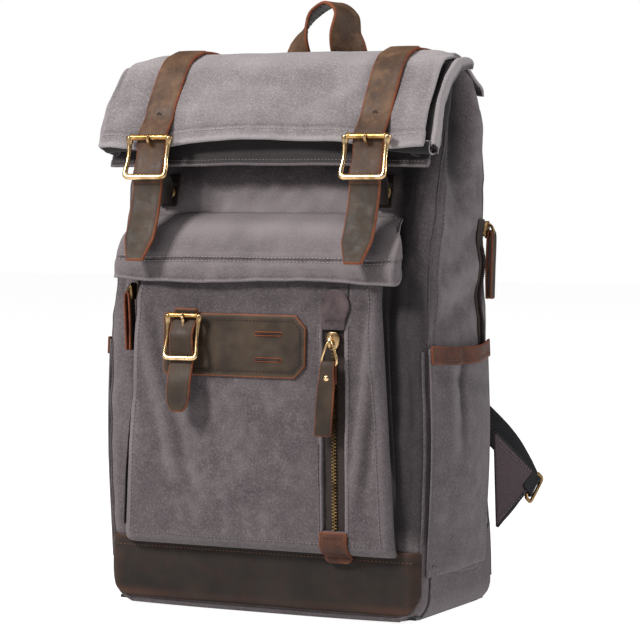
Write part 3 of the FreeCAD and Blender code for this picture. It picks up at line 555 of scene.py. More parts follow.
# A paler copy of the canvas for the roll top: faded cloth, and painted light for the top's brighter lighting.
FADED_AND_LIT_CANVAS = canvas_material("canvas_faded_and_lit", linear(84, 78, 80), linear(114, 107, 109), linear(162, 155, 156))
LINING = canvas_material("lining_cloth", linear(34, 31, 32), linear(46, 42, 43), linear(66, 60, 61))
PADDING = canvas_material("padding_cloth", linear(48, 38, 41), linear(60, 48, 52), linear(82, 68, 72))
LEATHER = leather_material("leather_strap", linear(54, 36, 25), linear(86, 62, 44), linear(122, 94, 70),
                           roughness=0.6)
LEATHER_OLIVE = leather_material("leather_patch", linear(34, 24, 17), linear(56, 43, 31), linear(84, 66, 49),
                                 0.12, 0.6)
LEATHER_RED = leather_material("leather_tab", linear(50, 25, 16), linear(78, 44, 29), linear(112, 68, 46),
                               roughness=0.6)
LEATHER_DARK = leather_material("leather_band", linear(20, 14, 11), linear(34, 25, 20), linear(74, 44, 30),
                                0.14, 0.62)
EDGE = leather_material("leather_edge", linear(74, 36, 21), linear(112, 58, 34), linear(142, 86, 56), 0.3, 0.7)
SUEDE = suede_material("suede", linear(50, 40, 42), linear(84, 70, 72))
BRASS = metal_material("brass", linear(146, 114, 74), linear(222, 190, 144), 0.27)
ANTIQUE = metal_material("antique_brass", linear(84, 66, 42), linear(146, 118, 78), 0.36)
WEBBING = woven_material("webbing", linear(18, 18, 20), linear(46, 45, 48), 1.6)
ZIP_TAPE = woven_material("zip_tape", linear(34, 27, 26), linear(62, 52, 48), 0.9)
BOARD = suede_material("board", linear(30, 30, 32), linear(52, 52, 54))
THREAD = thread_material("thread", linear(72, 66, 67), linear(124, 116, 117))
THREAD_PALE = thread_material("thread_pale", linear(112, 105, 104), linear(158, 150, 148))
THREAD_DARK = thread_material("thread_dark", linear(32, 26, 24), linear(62, 50, 44))
THREAD_BROWN = thread_material("thread_brown", linear(70, 44, 30), linear(112, 76, 54))


# ---------------------------------------------------------------- bag body: one sewn shell
CORNER = 13.0
FOOT_CORNER = 20.0
BODY_TOP = [(0.0, RIDGE_Z - 22), (0.16, RIDGE_Z - 6), (0.45, RIDGE_Z - 6), (0.86, RIDGE_Z - 15),
            (1.0, SHOULDER[1])]


SHELL = 3.0
FLOOR = 4.0


def shell_top(share):
    """Height of the shell's top edge; the share runs from the front at 0 to the back at 1."""
    return float(np.interp(share, [p[0] for p in BODY_TOP], [p[1] for p in BODY_TOP]))


def body_stations():
    """Places round the bag as (part, share): front, right, back, left, with four corners between."""
    rows = []
    for part, count in (("front", 84), ("corner_fr", 8), ("right", 56), ("corner_br", 8),
                        ("back", 60), ("corner_bl", 8), ("left", 56), ("corner_fl", 8)):
        rows += [(part, step / count) for step in range(count)]
    return rows


def body_wave(part, x, y, z):
    """How far the cloth stands out of its flat place, in millimetres."""
    high = 1.0 + 0.7 * smooth(212, 240, z)
    out = high * (1.7 * rough(x, y, z, 62.0) + 1.1 * rough(x, y, z, 24.0, 3.0)
                  + 0.4 * rough(x, y, z, 10.0, 5.0))
    out *= 0.35 + 0.65 * smooth(40, 90, z)
    if part in ("right", "left"):
        middle = (FRONT + BACK) / 2 - 8
        tuck = smooth(RIDGE_Z - 150, RIDGE_Z - 34, z)
        out -= 17.0 * tuck * bump(y, -12 + 8 * tuck, 17)
        out += 4.0 * tuck * bump(y, 26, 15)
        out += 5.0 * bump(y, middle, 40) * smooth(20, 120, z) * (1 - smooth(300, 400, z))
        out += 2.4 * bump(z, 268 + 0.35 * (y - 10), 13) - 2.0 * bump(z, 238 + 0.3 * y, 11)
        out += 1.6 * bump(y - 0.22 * (z - 320), -38, 7) * smooth(240, 300, z)
        out += 1.8 * bump(z, 330 - 0.7 * y, 16) * bump(y, 40, 26)
    if part == "front":
        out += 1.6 * bump(abs(x), 124, 9) * smooth(60, 120, z) * (1 - smooth(320, 400, z))
        out -= 1.4 * bump(abs(x), 112, 8) * smooth(60, 120, z)
        out -= 1.8 * bump(z, RIDGE_Z - 82, 16)
    if part == "back":
        out += 4.0 * (bump(x, 62, 40) + bump(x, -62, 40)) * smooth(60, 90, z) * (1 - smooth(330, 370, z))
        out -= 2.0 * (bump(z, 150, 4) + bump(z, 240, 4)) * smooth(30, 50, 105 - abs(x))
    return out


def swell(z):
    """How far the full bag pushes its sides out."""
    return 5.0 * bump(z, 140, 95) * smooth(0, 30, z)


def body_point(part, share, v):
    """A point of the shell's outside: v is 0 at the floor and 1 at the top edge."""
    if part == "right":
        t = share
    elif part == "left":
        t = 1 - share
    else:
        t = {"front": 0.0, "corner_fr": 0.0, "corner_fl": 0.0, "back": 1.0, "corner_br": 1.0,
             "corner_bl": 1.0}[part]
    z = v * shell_top(t)
    low = max(0.0, FOOT_CORNER - z)
    side_in = FOOT_CORNER - math.sqrt(max(FOOT_CORNER ** 2 - low ** 2, 0.0))
    low = max(0.0, 9.0 - z)
    face_in = 9.0 - math.sqrt(max(81.0 - low ** 2, 0.0))
    by_zip = smooth(0.68, 0.86, share) if part == "right" else float(part == "corner_br")
    half = HALF + 0.8 - side_in + swell(z) * (1 - by_zip)
    half -= 9.0 * smooth(RIDGE_Z - 60, RIDGE_Z - 5, z) * smooth(0.3, 0.9, t)
    front = on_line(FRONT_LINE, z) + face_in
    back = on_line(BACK_LINE, z) - face_in
    r = CORNER
    quarter = math.pi / 2 * share
    if part == "front":
        base, out = (-(half - r) + share * 2 * (half - r), front), (0, -1)
    elif part == "back":
        base, out = ((half - r) - share * 2 * (half - r), back), (0, 1)
    elif part == "right":
        base, out = (half, front + r + share * (back - front - 2 * r)), (1, 0)
    elif part == "left":
        base, out = (-half, back - r - share * (back - front - 2 * r)), (-1, 0)
    elif part == "corner_fr":
        out = (math.sin(quarter), -math.cos(quarter))
        base = (half - r + r * out[0], front + r + r * out[1])
    elif part == "corner_br":
        out = (math.cos(quarter), math.sin(quarter))
        base = (half - r + r * out[0], back - r + r * out[1])
    elif part == "corner_bl":
        out = (-math.sin(quarter), math.cos(quarter))
        base = (-half + r + r * out[0], back - r + r * out[1])
    else:
        out = (-math.cos(quarter), -math.sin(quarter))
        base = (-half + r + r * out[0], front + r + r * out[1])
    fade = 1.0
    if part in ("front", "right", "back", "left"):
        fade = smooth(0.0, 0.07, share) * (1 - smooth(0.93, 1.0, share))
    wave = body_wave(part, base[0], base[1], z) * (0.25 + 0.75 * fade)
    wave = wave if z > 12 else wave * z / 12
    return np.array([base[0] + out[0] * wave, base[1] + out[1] * wave, z])


def body_shell():
    stations = body_stations()
    heights = np.concatenate([np.linspace(0, 0.06, 9)[:-1], np.linspace(0.06, 1.0, 120)])
    outer = np.array([[body_point(part, share, v) for part, share in stations] for v in heights])
    count = len(stations)
    rows = len(heights)
    wrapped = np.concatenate([outer[:, -1:], outer, outer[:, :1]], axis=1)
    normals = grid_normals(wrapped)[:, 1:-1]
    inner = outer - normals * SHELL
    inner[:, :, 2] = np.maximum(inner[:, :, 2], FLOOR)
    floors = []
    for shell, level in ((outer, 0.0), (inner, FLOOR)):
        ring = shell[0]
        centre = np.array([0.0, 0.0, level])
        floors.append([centre + (ring - centre) * share for share in (0.75, 0.4, 0.02)])
    vertices = np.concatenate([outer.reshape(-1, 3), inner.reshape(-1, 3)]
                              + [np.array(level) for floor in floors for level in floor])
    faces = grid_faces(rows, count, wrap=True)
    kinds = [0] * len(faces)
    size = rows * count
    inside = [tuple(i + size for i in reversed(face)) for face in faces]
    faces += inside
    kinds += [1] * len(inside)
    for c in range(count):
        d = (c + 1) % count
        top = (rows - 1) * count
        faces.append((top + c, top + d, top + d + size, top + c + size))
        kinds.append(0)
    for which, first in ((0, 2 * size), (1, 2 * size + 3 * count)):
        loops = [[which * size + c for c in range(count)]]
        loops += [[first + level * count + c for c in range(count)] for level in range(3)]
        for near, far in zip(loops, loops[1:]):
            for c in range(count):
                d = (c + 1) % count
                quad = (near[d], near[c], far[c], far[d])
                faces.append(quad if which == 0 else quad[::-1])
                kinds.append(which)
        faces.append(tuple(loops[-1][::-1] if which == 0 else loops[-1]))
        kinds.append(which)
    # Painted light and shade on the shell: paler where the cloth stands out and darker where it sinks, painted
    # shade under the roll's ends and in the side tucks, painted shadow beside the pocket and under the roll, and
    # painted light on the band above the pocket.
    shade = np.zeros(len(vertices))
    for index in range(rows * count):
        x, y, z = vertices[index]
        part = stations[index % count][0]
        wave = body_wave(part, x, y, z) if part in ("front", "right", "left") else 0.0
        shade[index] = 0.035 * wave
        if part in ("right", "left", "corner_fr", "corner_fl"):
            shade[index] -= 0.95 * smooth(RIDGE_Z - 130, RIDGE_Z - 70, z) * smooth(20, -14, y)
            shade[index] -= 0.4 * smooth(RIDGE_Z - 110, RIDGE_Z - 30, z) * bump(y, -2, 18)
            shade[index] -= 0.5 * bump(y, FRONT + 12, 9) * smooth(215, 260, z)
            shade[index] -= 0.85 * smooth(FRONT + 12, FRONT + 5,
                                          y) * smooth(55, 75, z) * (1 - smooth(250, 300, z)) * (x > 0)
        if part == "front":
            shade[index] -= 0.6 * smooth(RIDGE_Z - 112, RIDGE_Z - 84, z)
            shade[index] += 0.55 * bump(z, RIDGE_Z - 125, 22) * (1 - smooth(88, 116, abs(x)))
            shade[index] -= 0.9 * smooth(102, 112, x) * smooth(55, 75, z)
            shade[index] -= 0.6 * smooth(112, 100, -x) * bump(z, 255, 40) * smooth(96, 104, -x)
    thing = piece("bag_shell", vertices, faces, [CANVAS, LINING], kinds, shade=np.clip(shade, -1, 1))
    return finish_piece(thing, "bag", ["front_panel", "back_panel", "side_panel_right",
                                                  "side_panel_left", "base_panel", "main_lining"])


body_shell()


def body_path(part, share, low, high, count, lift):
    """A line up the shell's outside, with its normals."""
    points, normals = [], []
    for step in range(count):
        v = low + (high - low) * step / (count - 1)
        here = body_point(part, share, v)
        side = body_point(part, min(share + 0.01, 0.999), v) - here
        rise = body_point(part, share, v + 0.003) - here
        normal = unit(np.cross(side, rise))
        points.append(here + normal * lift)
        normals.append(normal)
    return np.array(points), np.array(normals)


# ---------------------------------------------------------------- rolled top: lid, flap, collar
FLAP_LINE = [(FRONT - 0.5, RIDGE_Z - 76), (FRONT + 12.5, RIDGE_Z - 44), (FRONT + 36.5, RIDGE_Z - 10),
             (RIDGE_Y, RIDGE_Z)]
LID_LINE = [(RIDGE_Y, RIDGE_Z), (RIDGE_Y + 28, RIDGE_Z - 1.5), LID_BACK, SHOULDER]
STRAP_X = (span("strap_tail_right")[0][0] + span("strap_tail_right")[1][0]) / 2


def strap_press(x, width=17.0):
    """1 under either strap and 0 away from them."""
    return bump(abs(x), STRAP_X, width)


def along(line, share):
    """The point at a share of an evenly spaced line."""
    at = share * (len(line) - 1)
    low = int(min(at, len(line) - 2))
    return line[low] + (line[low + 1] - line[low]) * (at - low)


LID_CURVE = curve(LID_LINE + [(SHOULDER[0] + 3.0, SHOULDER[1] - 8)], 60)
FLAP_CURVE = curve([(RIDGE_Y + 17, RIDGE_Z - 2.4), (RIDGE_Y + 6, RIDGE_Z - 0.6), (RIDGE_Y - 4.5, RIDGE_Z - 3.0),
                    FLAP_LINE[2], (FRONT + 25, RIDGE_Z - 25), FLAP_LINE[1], (FRONT + 5.5, RIDGE_Z - 60),
                    FLAP_LINE[0]], 100)
COLLAR_CURVE = curve([(FRONT + 44.0, RIDGE_Z - 19.5), (FRONT + 39.5, RIDGE_Z - 28),
                      (FRONT + 22.5, RIDGE_Z - 56),
                      (FRONT + 6.5, RIDGE_Z - 88)], 60)


def lid_point(x, share):
    """The lid from the ridge's crown at 0 to the shoulder at 1, its outer corners sagging."""
    y, z = along(LID_CURVE, share)
    edge = smooth(84, 138, abs(x))
    z -= edge * edge * (3.0 + 13.0 * smooth(0.1, 0.75, share) - 6.0 * smooth(0.75, 1.0, share))
    z += 1.2 * rough(x, y, 0, 34.0, 2.0) * (1 - share * 0.5)
    z -= 0.9 * strap_press(x)
    return np.array([x, y, z])


def flap_point(x, share):
    """The flap from behind the ridge at 0 to the hem's lowest edge at 1."""
    arch = 7.0 * max(0.0, 1 - (x / 112.0) ** 2) + 2.0 * smooth(120, 143, abs(x))
    y, z = along(FLAP_CURVE, share * (1 - arch / 92.0 * share))
    drape = smooth(0.2, 0.65, share)
    out = drape * (1.6 * rough(x, 0, z, 36.0, 4.0) + 0.8 * rough(x, y, z, 15.0, 6.0))
    out += drape * (2.6 * bump(abs(x), 62, 22) + 3.2 * bump(abs(x), 126, 14) + 1.2 * bump(x, 8, 26))
    out -= drape * 1.4 * strap_press(x, 13.0)
    out += 1.3 * math.sin((x + 40 * share) / 17.0) * drape * smooth(0.75, 1.0, share) * (1 - strap_press(x))
    y -= out * 0.85
    z += out * 0.45
    if share < 0.3:
        z -= (0.3 - share) / 0.3 * 9.0 * smooth(112, 143, abs(x)) ** 2
    z -= 4.0 * smooth(134, 143, abs(x)) ** 2 * (1 - smooth(0.3, 0.8, share))
    return np.array([x, y, z])


def spread(low, high, count, focus=()):
    """Positions from low to high, with a few extra ones where detail needs them."""
    places = set(np.round(np.linspace(low, high, count), 3))
    for place in focus:
        places.add(round(place, 3))
    return np.array(sorted(places))


FLAP_LEFT, FLAP_RIGHT = -FLAP_HALF - 2.0, FLAP_HALF - 5.5


def flap_tone(x, share):
    """Paler along the ridge and the hem; painted shade beside the hem's step and painted shadow under and beside
    the straps.
    """
    tone = 0.30 * bump(share, 0.22, 0.12) + 0.22 * smooth(0.95, 1.0, share) - 0.22 * bump(share, 0.905, 0.012)
    tone -= 0.28 * strap_press(x, 15.0) * smooth(0.25, 0.4, share)
    return tone + 0.12 * rough(x, 0, share * 90, 26.0, 4.0)


def top_cloth():
    xs = spread(-HALF + 1, HALF - 1, 90)
    grid = [[lid_point(x, s) for x in xs] for s in np.linspace(0.12, 1.0, 24)]
    lid = sheet("lid_cloth", grid, 2.6, [FADED_AND_LIT_CANVAS, LINING, FADED_AND_LIT_CANVAS], 0.1)
    bridge(lid, "canvas", "bag", "lid", *LID_FOLD, ["lid_panel"])

    xs = spread(FLAP_LEFT, FLAP_RIGHT, 150)
    shares = spread(0.0, 1.0, 60, (0.9, 0.925, 0.985))
    grid = [[flap_point(x, s) for x in xs] for s in shares]
    thickness = 2.4 + 1.6 * smooth(0.895, 0.925, shares)[:, None] * np.ones(len(xs))
    tones = [flap_tone(x, s) for s in shares for x in xs]
    flap = sheet("flap_cloth", grid, thickness, [FADED_AND_LIT_CANVAS, LINING, FADED_AND_LIT_CANVAS], tones, 0.3, flip=True)
    bridge(flap, "canvas", "lid", "flap", *RIDGE_FOLD, ["roll_flap"])

    normal = np.array([0, -0.9, 0.42])
    row = np.array([flap_point(x, 0.93) for x in np.linspace(FLAP_LEFT + 3, FLAP_RIGHT - 3, 200)])
    hem = stitches("flap_hem_stitches", [(row + normal * 2.0, normal)], THREAD_PALE, 3.0, 2.1, 0.42)
    finish_piece(hem, "flap")


def flap_end(side):
    """Gusset cloth at one end of the roll: a valley behind the flap's edge in painted shade, then a rolled second
    lip with painted light on its crest.
    """
    rows, tones = [], []
    edge = FLAP_RIGHT if side > 0 else -FLAP_LEFT
    reach = 8.5 if side > 0 else 3.0
    for share in np.linspace(0.10, 0.99, 60):
        base = flap_point(edge * side, share)
        wave = 1.5 * rough(0, share * 90, side * 40, 14.0, 7.0)
        out = reach * (1 - 0.35 * bump(share, 0.55, 0.2)) + wave
        sink = 5.0 + 3.0 * bump(share, 0.3, 0.2)
        # Profile points are (x, y, z, tone); the tone is painted shade in the valley and behind the lip, and
        # painted light on the lip's crest.
        profile = [(-9, 3.0, -1.0, -0.8), (-2.5, sink, -2.5, -0.95), (out * 0.45, sink + 0.5, -2.5, -0.9),
                   (out * 0.8, sink - 2.0, -1.0, -0.1), (out, sink - 3.0, -0.5, 0.3),
                   (out + 1.6, sink - 1.0, -1.5, 0.1),
                   (out + 1.2, sink + 4.0, -4.0, -0.7), (out - 3.0, sink + 12.0, -8.0, -0.9)]
        fine = curve([p[:3] for p in profile], 30)
        rows.append([base + np.array([side * x, y, z]) for x, y, z in fine])
        tones += list(np.interp(np.linspace(0, 7, 30), range(8), [p[3] for p in profile]))
    thing = sheet("flap_end_" + WORDS[side], rows, 1.4, [FADED_AND_LIT_CANVAS] * 3, tones, -0.3, flip=side > 0)
    bridge(thing, "canvas", "lid", "flap", *RIDGE_FOLD)


def hem_curl(side):
    """The open roll of cloth at the flap's lower corner."""
    rows, tones = [], []
    edge = FLAP_RIGHT + 5.0 if side > 0 else -FLAP_LEFT
    for step in np.linspace(0, 1, 34):
        x = side * (edge - 46 * step)
        base = flap_point(x, 1.0)
        size = (8.2 if side > 0 else 6.5) * (1 - 0.9 * step ** 1.3)
        row = []
        for turn in np.linspace(0, 1, 30):
            angle = -0.2 + 1.55 * math.pi * turn
            row.append((x - side * 2.0 * math.sin(angle), base[1] + 1.2 + size * 1.2 * (1 - math.cos(angle)),
                        base[2] + 0.6 - size * 0.95 * math.sin(angle)))
            tones.append(-0.2 * turn)
        rows.append(row)
    # Painted shade: the outer face darkens as it turns under, and the inside of the curl is near-black.
    inner = np.full(len(tones), -0.9)
    thing = sheet("hem_curl_" + WORDS[side], rows, 1.5, [FADED_AND_LIT_CANVAS, LINING, FADED_AND_LIT_CANVAS], tones, 0.25, inner,
                  side < 0)
    finish_piece(thing, "flap")


def collar_point(x, share):
    """The front collar behind the flap, from its fold at 0 down to its hem at 1."""
    y, z = along(COLLAR_CURVE, share)
    drop = 2.6 * smooth(20, 120, abs(x)) * share
    return np.array([x, y - 0.6 * rough(x, z, 0, 24.0, 8.0) * share,
                     z - drop * 0.4 + 0.8 * rough(x, 0, 0, 40.0, 9.0) * share])


def collar_cloth():
    half = FLAP_HALF - 4
    xs = spread(-half, half, 110)
    shares = spread(0.0, 1.0, 40, (0.93, 0.945))
    grid = [[collar_point(x, s) for x in xs] for s in shares]
    thickness = 1.8 + 1.2 * smooth(0.93, 0.945, shares)[:, None] * np.ones(len(xs))
    # The collar's faces take the dark lining cloth, which also stands in as painted shade for the shadow under
    # the flap.
    thing = sheet("collar_cloth", grid, thickness, [LINING, LINING, CANVAS], flip=True)
    bridge(thing, "canvas", "bag", "collar", (FRONT + 46.5, 421.0), (FRONT + 38, 407.0),
           ["front_collar", "collar_facing"])
    normal = np.array([0, -0.9, 0.42])
    row = np.array([collar_point(x, 0.965) for x in np.linspace(-half + 3, half - 3, 160)])
    finish_piece(stitches("collar_stitches", [(row + normal * 1.6, normal)], THREAD, 3.0, 2.1, 0.4), "collar")


def roll_gusset(side):
    """Folded cloth that closes one end of the roll, between the flap and the collar."""
    edge = side * ((FLAP_RIGHT if side > 0 else -FLAP_LEFT) - 5.0)
    rows = []
    for step in np.linspace(0, 1, 40):
        near = flap_point(edge, 0.16 + 0.8 * step) + np.array([0, 2.0, -2.4])
        far = collar_point(edge, 0.02 + 0.9 * step)
        row = []
        for t in np.linspace(0, 1, 16):
            spot = near + (far - near) * t
            spot[0] -= side * (9.0 * math.sin(math.pi * t) + 1.5 * rough(0, t * 20, step * 60, 12.0, 17.0))
            row.append(spot)
        rows.append(row)
    # Painted shade over the whole gusset, which sits in the recess behind the flap's end.
    thing = sheet("roll_gusset_" + WORDS[side], rows, 1.2, [CANVAS, LINING, CANVAS], -0.5, flip=side > 0)
    bridge(thing, "canvas", "lid", "flap", *RIDGE_FOLD)


top_cloth()
for SIDE in (-1, 1):
    flap_end(SIDE)
    hem_curl(SIDE)
    roll_gusset(SIDE)
collar_cloth()


# ---------------------------------------------------------------- front pocket
ZIP_LOW_CORNER, ZIP_HIGH_CORNER = span("front_zip_slider")
ZIP_X = (ZIP_LOW_CORNER[0] + ZIP_HIGH_CORNER[0]) / 2
ZIP_TOP = ZIP_HIGH_CORNER[2] + 4.0
ZIP_LENGTH = 157.0
ZIP_BOTTOM = ZIP_TOP - ZIP_LENGTH
ZIP_HALF = 10.0
POCKET_WIDE = POCKET_HIGH[0]
POCKET_TAPER = 13.0
POCKET_ROUND = 9.0
# Shares across the pocket where its front ends and where its side begins, with the round corner between.
FACE_SHARE, SIDE_SHARE = 0.93, 1.15


def pocket_half(z):
    share = (z - POCKET_BOTTOM) / (POCKET_TOP - POCKET_BOTTOM)
    return POCKET_WIDE - POCKET_TAPER * share


def pocket_crease(x, z):
    """Folds of the pocket's front: a full middle, slack upper corners and a pull to the zip."""
    out = 1.8 * rough(x, 0, z, 52.0, 11.0) + 1.1 * rough(x, 0, z, 20.0, 12.0) + 0.4 * rough(x, 0, z, 9.0, 13.0)
    out += 3.4 * bump(x, -20, 62) * bump(z, 128, 66)
    out += 1.6 * bump(x + 0.25 * (z - 170), -86, 7) * smooth(80, 130, z) * (1 - smooth(215, 245, z))
    out -= 1.4 * bump(x + 0.25 * (z - 170), -74, 6) * smooth(80, 130, z) * (1 - smooth(215, 245, z))
    out += 2.2 * bump(x - 0.12 * (z - 150), 93, 5) * smooth(75, 120, z) * (1 - smooth(225, 262, z))
    out -= 1.6 * bump(x - 0.12 * (z - 150), 101, 5) * smooth(75, 120, z) * (1 - smooth(235, 262, z))
    out -= 1.8 * bump(z, 246, 9) * smooth(-110, -60, x)
    out += 1.4 * bump(z + 0.35 * x, 92, 11) * bump(x, -72, 34)
    return out * smooth(0, 16, z - POCKET_BOTTOM)


def pocket_place(a, z):
    """A point of the pocket: a runs along the left side (-2..-1), the front (-1..1) and the right side (1..2)."""
    half = pocket_half(z)
    r = POCKET_ROUND
    face = POCKET_FACE + 5.0 * smooth(POCKET_TOP - 26, POCKET_TOP, z)
    foot = max(0.0, POCKET_BOTTOM + 10.0 - z)
    face += 10.0 - math.sqrt(max(100.0 - foot ** 2, 0.0))
    back = on_line(FRONT_LINE, z) + 1.0
    side = 1 if a > 0 else -1
    size = abs(a)
    if size <= FACE_SHARE:
        x = a / FACE_SHARE * (half - r)
        return np.array([x, face - pocket_crease(x, z), z])
    edge = pocket_crease(side * (half - r), z)
    if size <= SIDE_SHARE:
        turn = (size - FACE_SHARE) / 0.22 * math.pi / 2
        x = side * (half - r + r * math.sin(turn))
        return np.array([x, face - edge * math.cos(turn) + r * (1 - math.cos(turn)), z])
    share = (size - SIDE_SHARE) / 0.85
    start = face + r
    ripple = 2.2 * math.sin(share * math.pi) * (rough(0, share * 20, z, 30.0, 14.0 + side) - 0.4)
    ripple -= 2.5 * math.sin(share * math.pi) * smooth(90, 200, z)
    return np.array([side * (half + ripple), start + (back - start) * share, z])


def pocket_columns():
    inner = pocket_half(150) - POCKET_ROUND
    places = [x / inner * FACE_SHARE for x in np.linspace(-inner, inner, 84)
              if not ZIP_X - ZIP_HALF - 2.5 < x < ZIP_X + ZIP_HALF + 2.5]
    columns = [("a", place) for place in places]
    for x in (-2.2, -1.0, -0.4, 0.0, 0.3, 0.8):
        columns.append(("x", ZIP_X - ZIP_HALF + x))
        columns.append(("x", ZIP_X + ZIP_HALF - x))
    columns += [("x", x) for x in np.linspace(ZIP_X - ZIP_HALF + 2.5, ZIP_X + ZIP_HALF - 2.5, 6)]
    columns.sort(key=lambda c: c[1] if c[0] == "a" else c[1] / inner * FACE_SHARE)
    left = [("a", -v) for v in np.concatenate([np.linspace(2.0, 1.15, 8), np.linspace(1.12, 0.95, 6)])]
    right = [("a", -c[1]) for c in reversed(left)]
    return left + columns + right


def pocket_cloth():
    columns = pocket_columns()
    heights = spread(POCKET_BOTTOM, POCKET_TOP, 110, [ZIP_BOTTOM + v for v in (-2.2, -1, 0, 0.8)]
                     + [ZIP_TOP + v for v in (-0.8, 0, 1, 2.2)])
    rows = []
    shade = []
    for z in heights:
        row = []
        for kind, value in columns:
            a = value if kind == "a" else value / (pocket_half(z) - POCKET_ROUND) * FACE_SHARE
            spot = pocket_place(a, z)
            # Painted light on the lip round the zip and painted shade in its slot.
            near = 0.0
            if kind == "x" or abs(spot[0] - ZIP_X) < ZIP_HALF + 6:
                gap_x = ZIP_HALF - abs(spot[0] - ZIP_X)
                gap_z = min(ZIP_TOP - z, z - ZIP_BOTTOM)
                gap = min(gap_x, gap_z)
                inside = smooth(0.0, 0.8, gap)
                lip = bump(gap, -1.3, 1.3)
                spot[1] += 3.0 * inside - 0.9 * lip
                near = 0.3 * lip - 0.8 * inside
            row.append(spot)
            # Painted light and shade: paler where the cloth stands out and darker where it sinks, a painted
            # highlight on the round corners, painted shade on the pocket's sides and under the storm flap, and a
            # little darker all over.
            base = 0.05 * pocket_crease(spot[0], z) - 0.07 + 0.2 * bump(abs(a), 1.0,
                                                                        0.04) - 0.85 * smooth(1.08, 1.2, abs(a))
            shade.append(base + near - 0.25 * smooth(POCKET_TOP - 26, POCKET_TOP - 8, z))
        rows.append(row)
    thing = sheet("pocket_cloth", rows, 1.2, [CANVAS, LINING, CANVAS], np.clip(shade, -1, 1))
    finish_piece(thing, "bag", ["pocket_front", "pocket_gusset"])
    lines = []
    for side in (-1, 1):
        points = np.array([pocket_place(side * 0.955, z)
                           for z in np.linspace(POCKET_BOTTOM + 8, POCKET_TOP - 12, 140)])
        lines.append((points + np.array([side * 0.3, -0.9, 0]), (side * 0.3, -0.95, 0)))
    row = np.array([pocket_place(a, POCKET_BOTTOM + 9) for a in np.linspace(-0.93, 0.93, 140)])
    lines.append((row + np.array([0, -0.9, -0.3]), (0, -1, -0.2)))
    finish_piece(stitches("pocket_stitches", lines, THREAD, 3.2, 2.2, 0.36), "bag")


pocket_cloth()


STORM_CURVE = curve([(FRONT + 18.5, POCKET_TOP + 43), (FRONT + 12, POCKET_TOP + 39.5),
                     (FRONT + 1, POCKET_TOP + 30.5),
                     (POCKET_FACE + 4, POCKET_TOP + 15), (POCKET_FACE - 1.6, POCKET_TOP + 5),
                     (POCKET_FACE - 2.6, POCKET_TOP - 9)], 60)


def storm_place(x, share):
    """The storm flap over the pocket: 0 at its seam on the body, 1 at its lower edge."""
    y, z = along(STORM_CURVE, share)
    drape = smooth(0.1, 0.5, share)
    out = drape * (1.5 * rough(x, 0, z, 34.0, 21.0) + 0.9 * rough(x, 0, z, 14.0, 22.0))
    out += 2.4 * bump(share, 0.45,
                      0.22) * (0.5 + 0.5 * math.sin(x / 26.0 + 1.0)) - 1.4 * strap_press(x, 16.0) * drape
    out -= 1.3 * bump(share, 0.74, 0.045)
    narrow = 1 - 0.07 * (1 - smooth(0.0, 0.6, share))
    z += 1.5 * math.sin(x / 30.0) * smooth(0.7, 1.0, share) - 3.0 * smooth(60, 122, abs(x)) * (1 - drape)
    return np.array([x * narrow, y - out * 0.8, z + out * 0.4])


def storm_flap():
    half = POCKET_FLAP_HIGH[0] - 1.0
    top = spread(-half, half, 130)
    rows, shade = [], []
    ear = np.linspace(0, 1, 9)[1:]
    shares = spread(0.0, 1.0, 54, (0.735, 0.74, 0.745, 0.97))
    for s in shares:
        front = [storm_place(x, s) for x in top]
        depth = 17.0 * smooth(0.32, 0.8, s)
        left, right = [], []
        for step in ear:
            fold = 2.6 * math.sin(step * math.pi) * (1 + 0.6 * rough(step * 12, 0, s * 50, 12.0, 31.0))
            rise = 9.0 * step * step * smooth(0.5, 1.0, s)
            left.append(front[0] + np.array([-fold * 0.6 + 1.5 * step, depth * step, rise]))
            right.append(front[-1] + np.array([fold * 0.6 - 1.5 * step, depth * step, rise]))
        rows.append(left[::-1] + front + right)
        for index in range(len(rows[-1])):
            edge = index < 8 or index >= len(rows[-1]) - 8
            x = rows[-1][index][0]
            # Painted light and shade: lighter all over and most on the rounded top that faces up, paler at the
            # hem, painted shade in the stitched groove and on the folded ears.
            value = 0.28 + 0.34 * bump(s, 0.3, 0.16) + 0.26 * smooth(0.95, 1.0, s) - 0.30 * bump(s, 0.74, 0.02)
            value += 0.14 * rough(x, 0, s * 60, 22.0, 21.0) - (0.25 if edge else 0.0)
            shade.append(value)
    thickness = 2.0 + 0.8 * smooth(0.955, 0.97, shares)[:, None] * np.ones(len(rows[0]))
    thing = sheet("storm_flap", rows, thickness, [CANVAS, LINING, CANVAS], shade, 0.3, flip=True)
    bridge(thing, "canvas", "bag", "pocket_lid", (FRONT + 21, 315.0), (FRONT + 10, 308.0), ["pocket_flap"])
    normal = np.array([0, -0.95, 0.3])
    lines = []
    for s in (0.715, 0.765):
        row = np.array([storm_place(x, s) for x in np.linspace(-half + 2, half - 2, 170)])
        lines.append((row + normal * 1.15, normal))
    finish_piece(stitches("storm_stitches", lines, THREAD_PALE, 3.2, 2.2, 0.38), "pocket_lid")


storm_flap()


# ---------------------------------------------------------------- leather straps
def strip(name, line, x, width, thickness, face, rim=EDGE, count=70, shade=None):
    """A strap that follows a falling (y, z) line at x; width is a number or a function of the share."""
    path = curve(line, count)
    across = np.linspace(-1, 1, 9)
    crown = 0.25
    grid, tones = [], []
    for index, (y, z) in enumerate(path):
        share = index / (count - 1)
        wide = width(share) if callable(width) else width
        step = unit(path[min(index + 1, count - 1)] - path[max(index - 1, 0)])
        out = np.array([step[1], -step[0]])
        grid.append([(x + a * wide / 2, *(np.array([y, z]) + out * crown * (1 - a * a))) for a in across])
        tones += [(shade(share) if shade else 0.0) - 0.18 * abs(a) ** 6 for a in across]
    return sheet(name, grid, thickness, [face, LEATHER_DARK, rim], tones, flip=True)


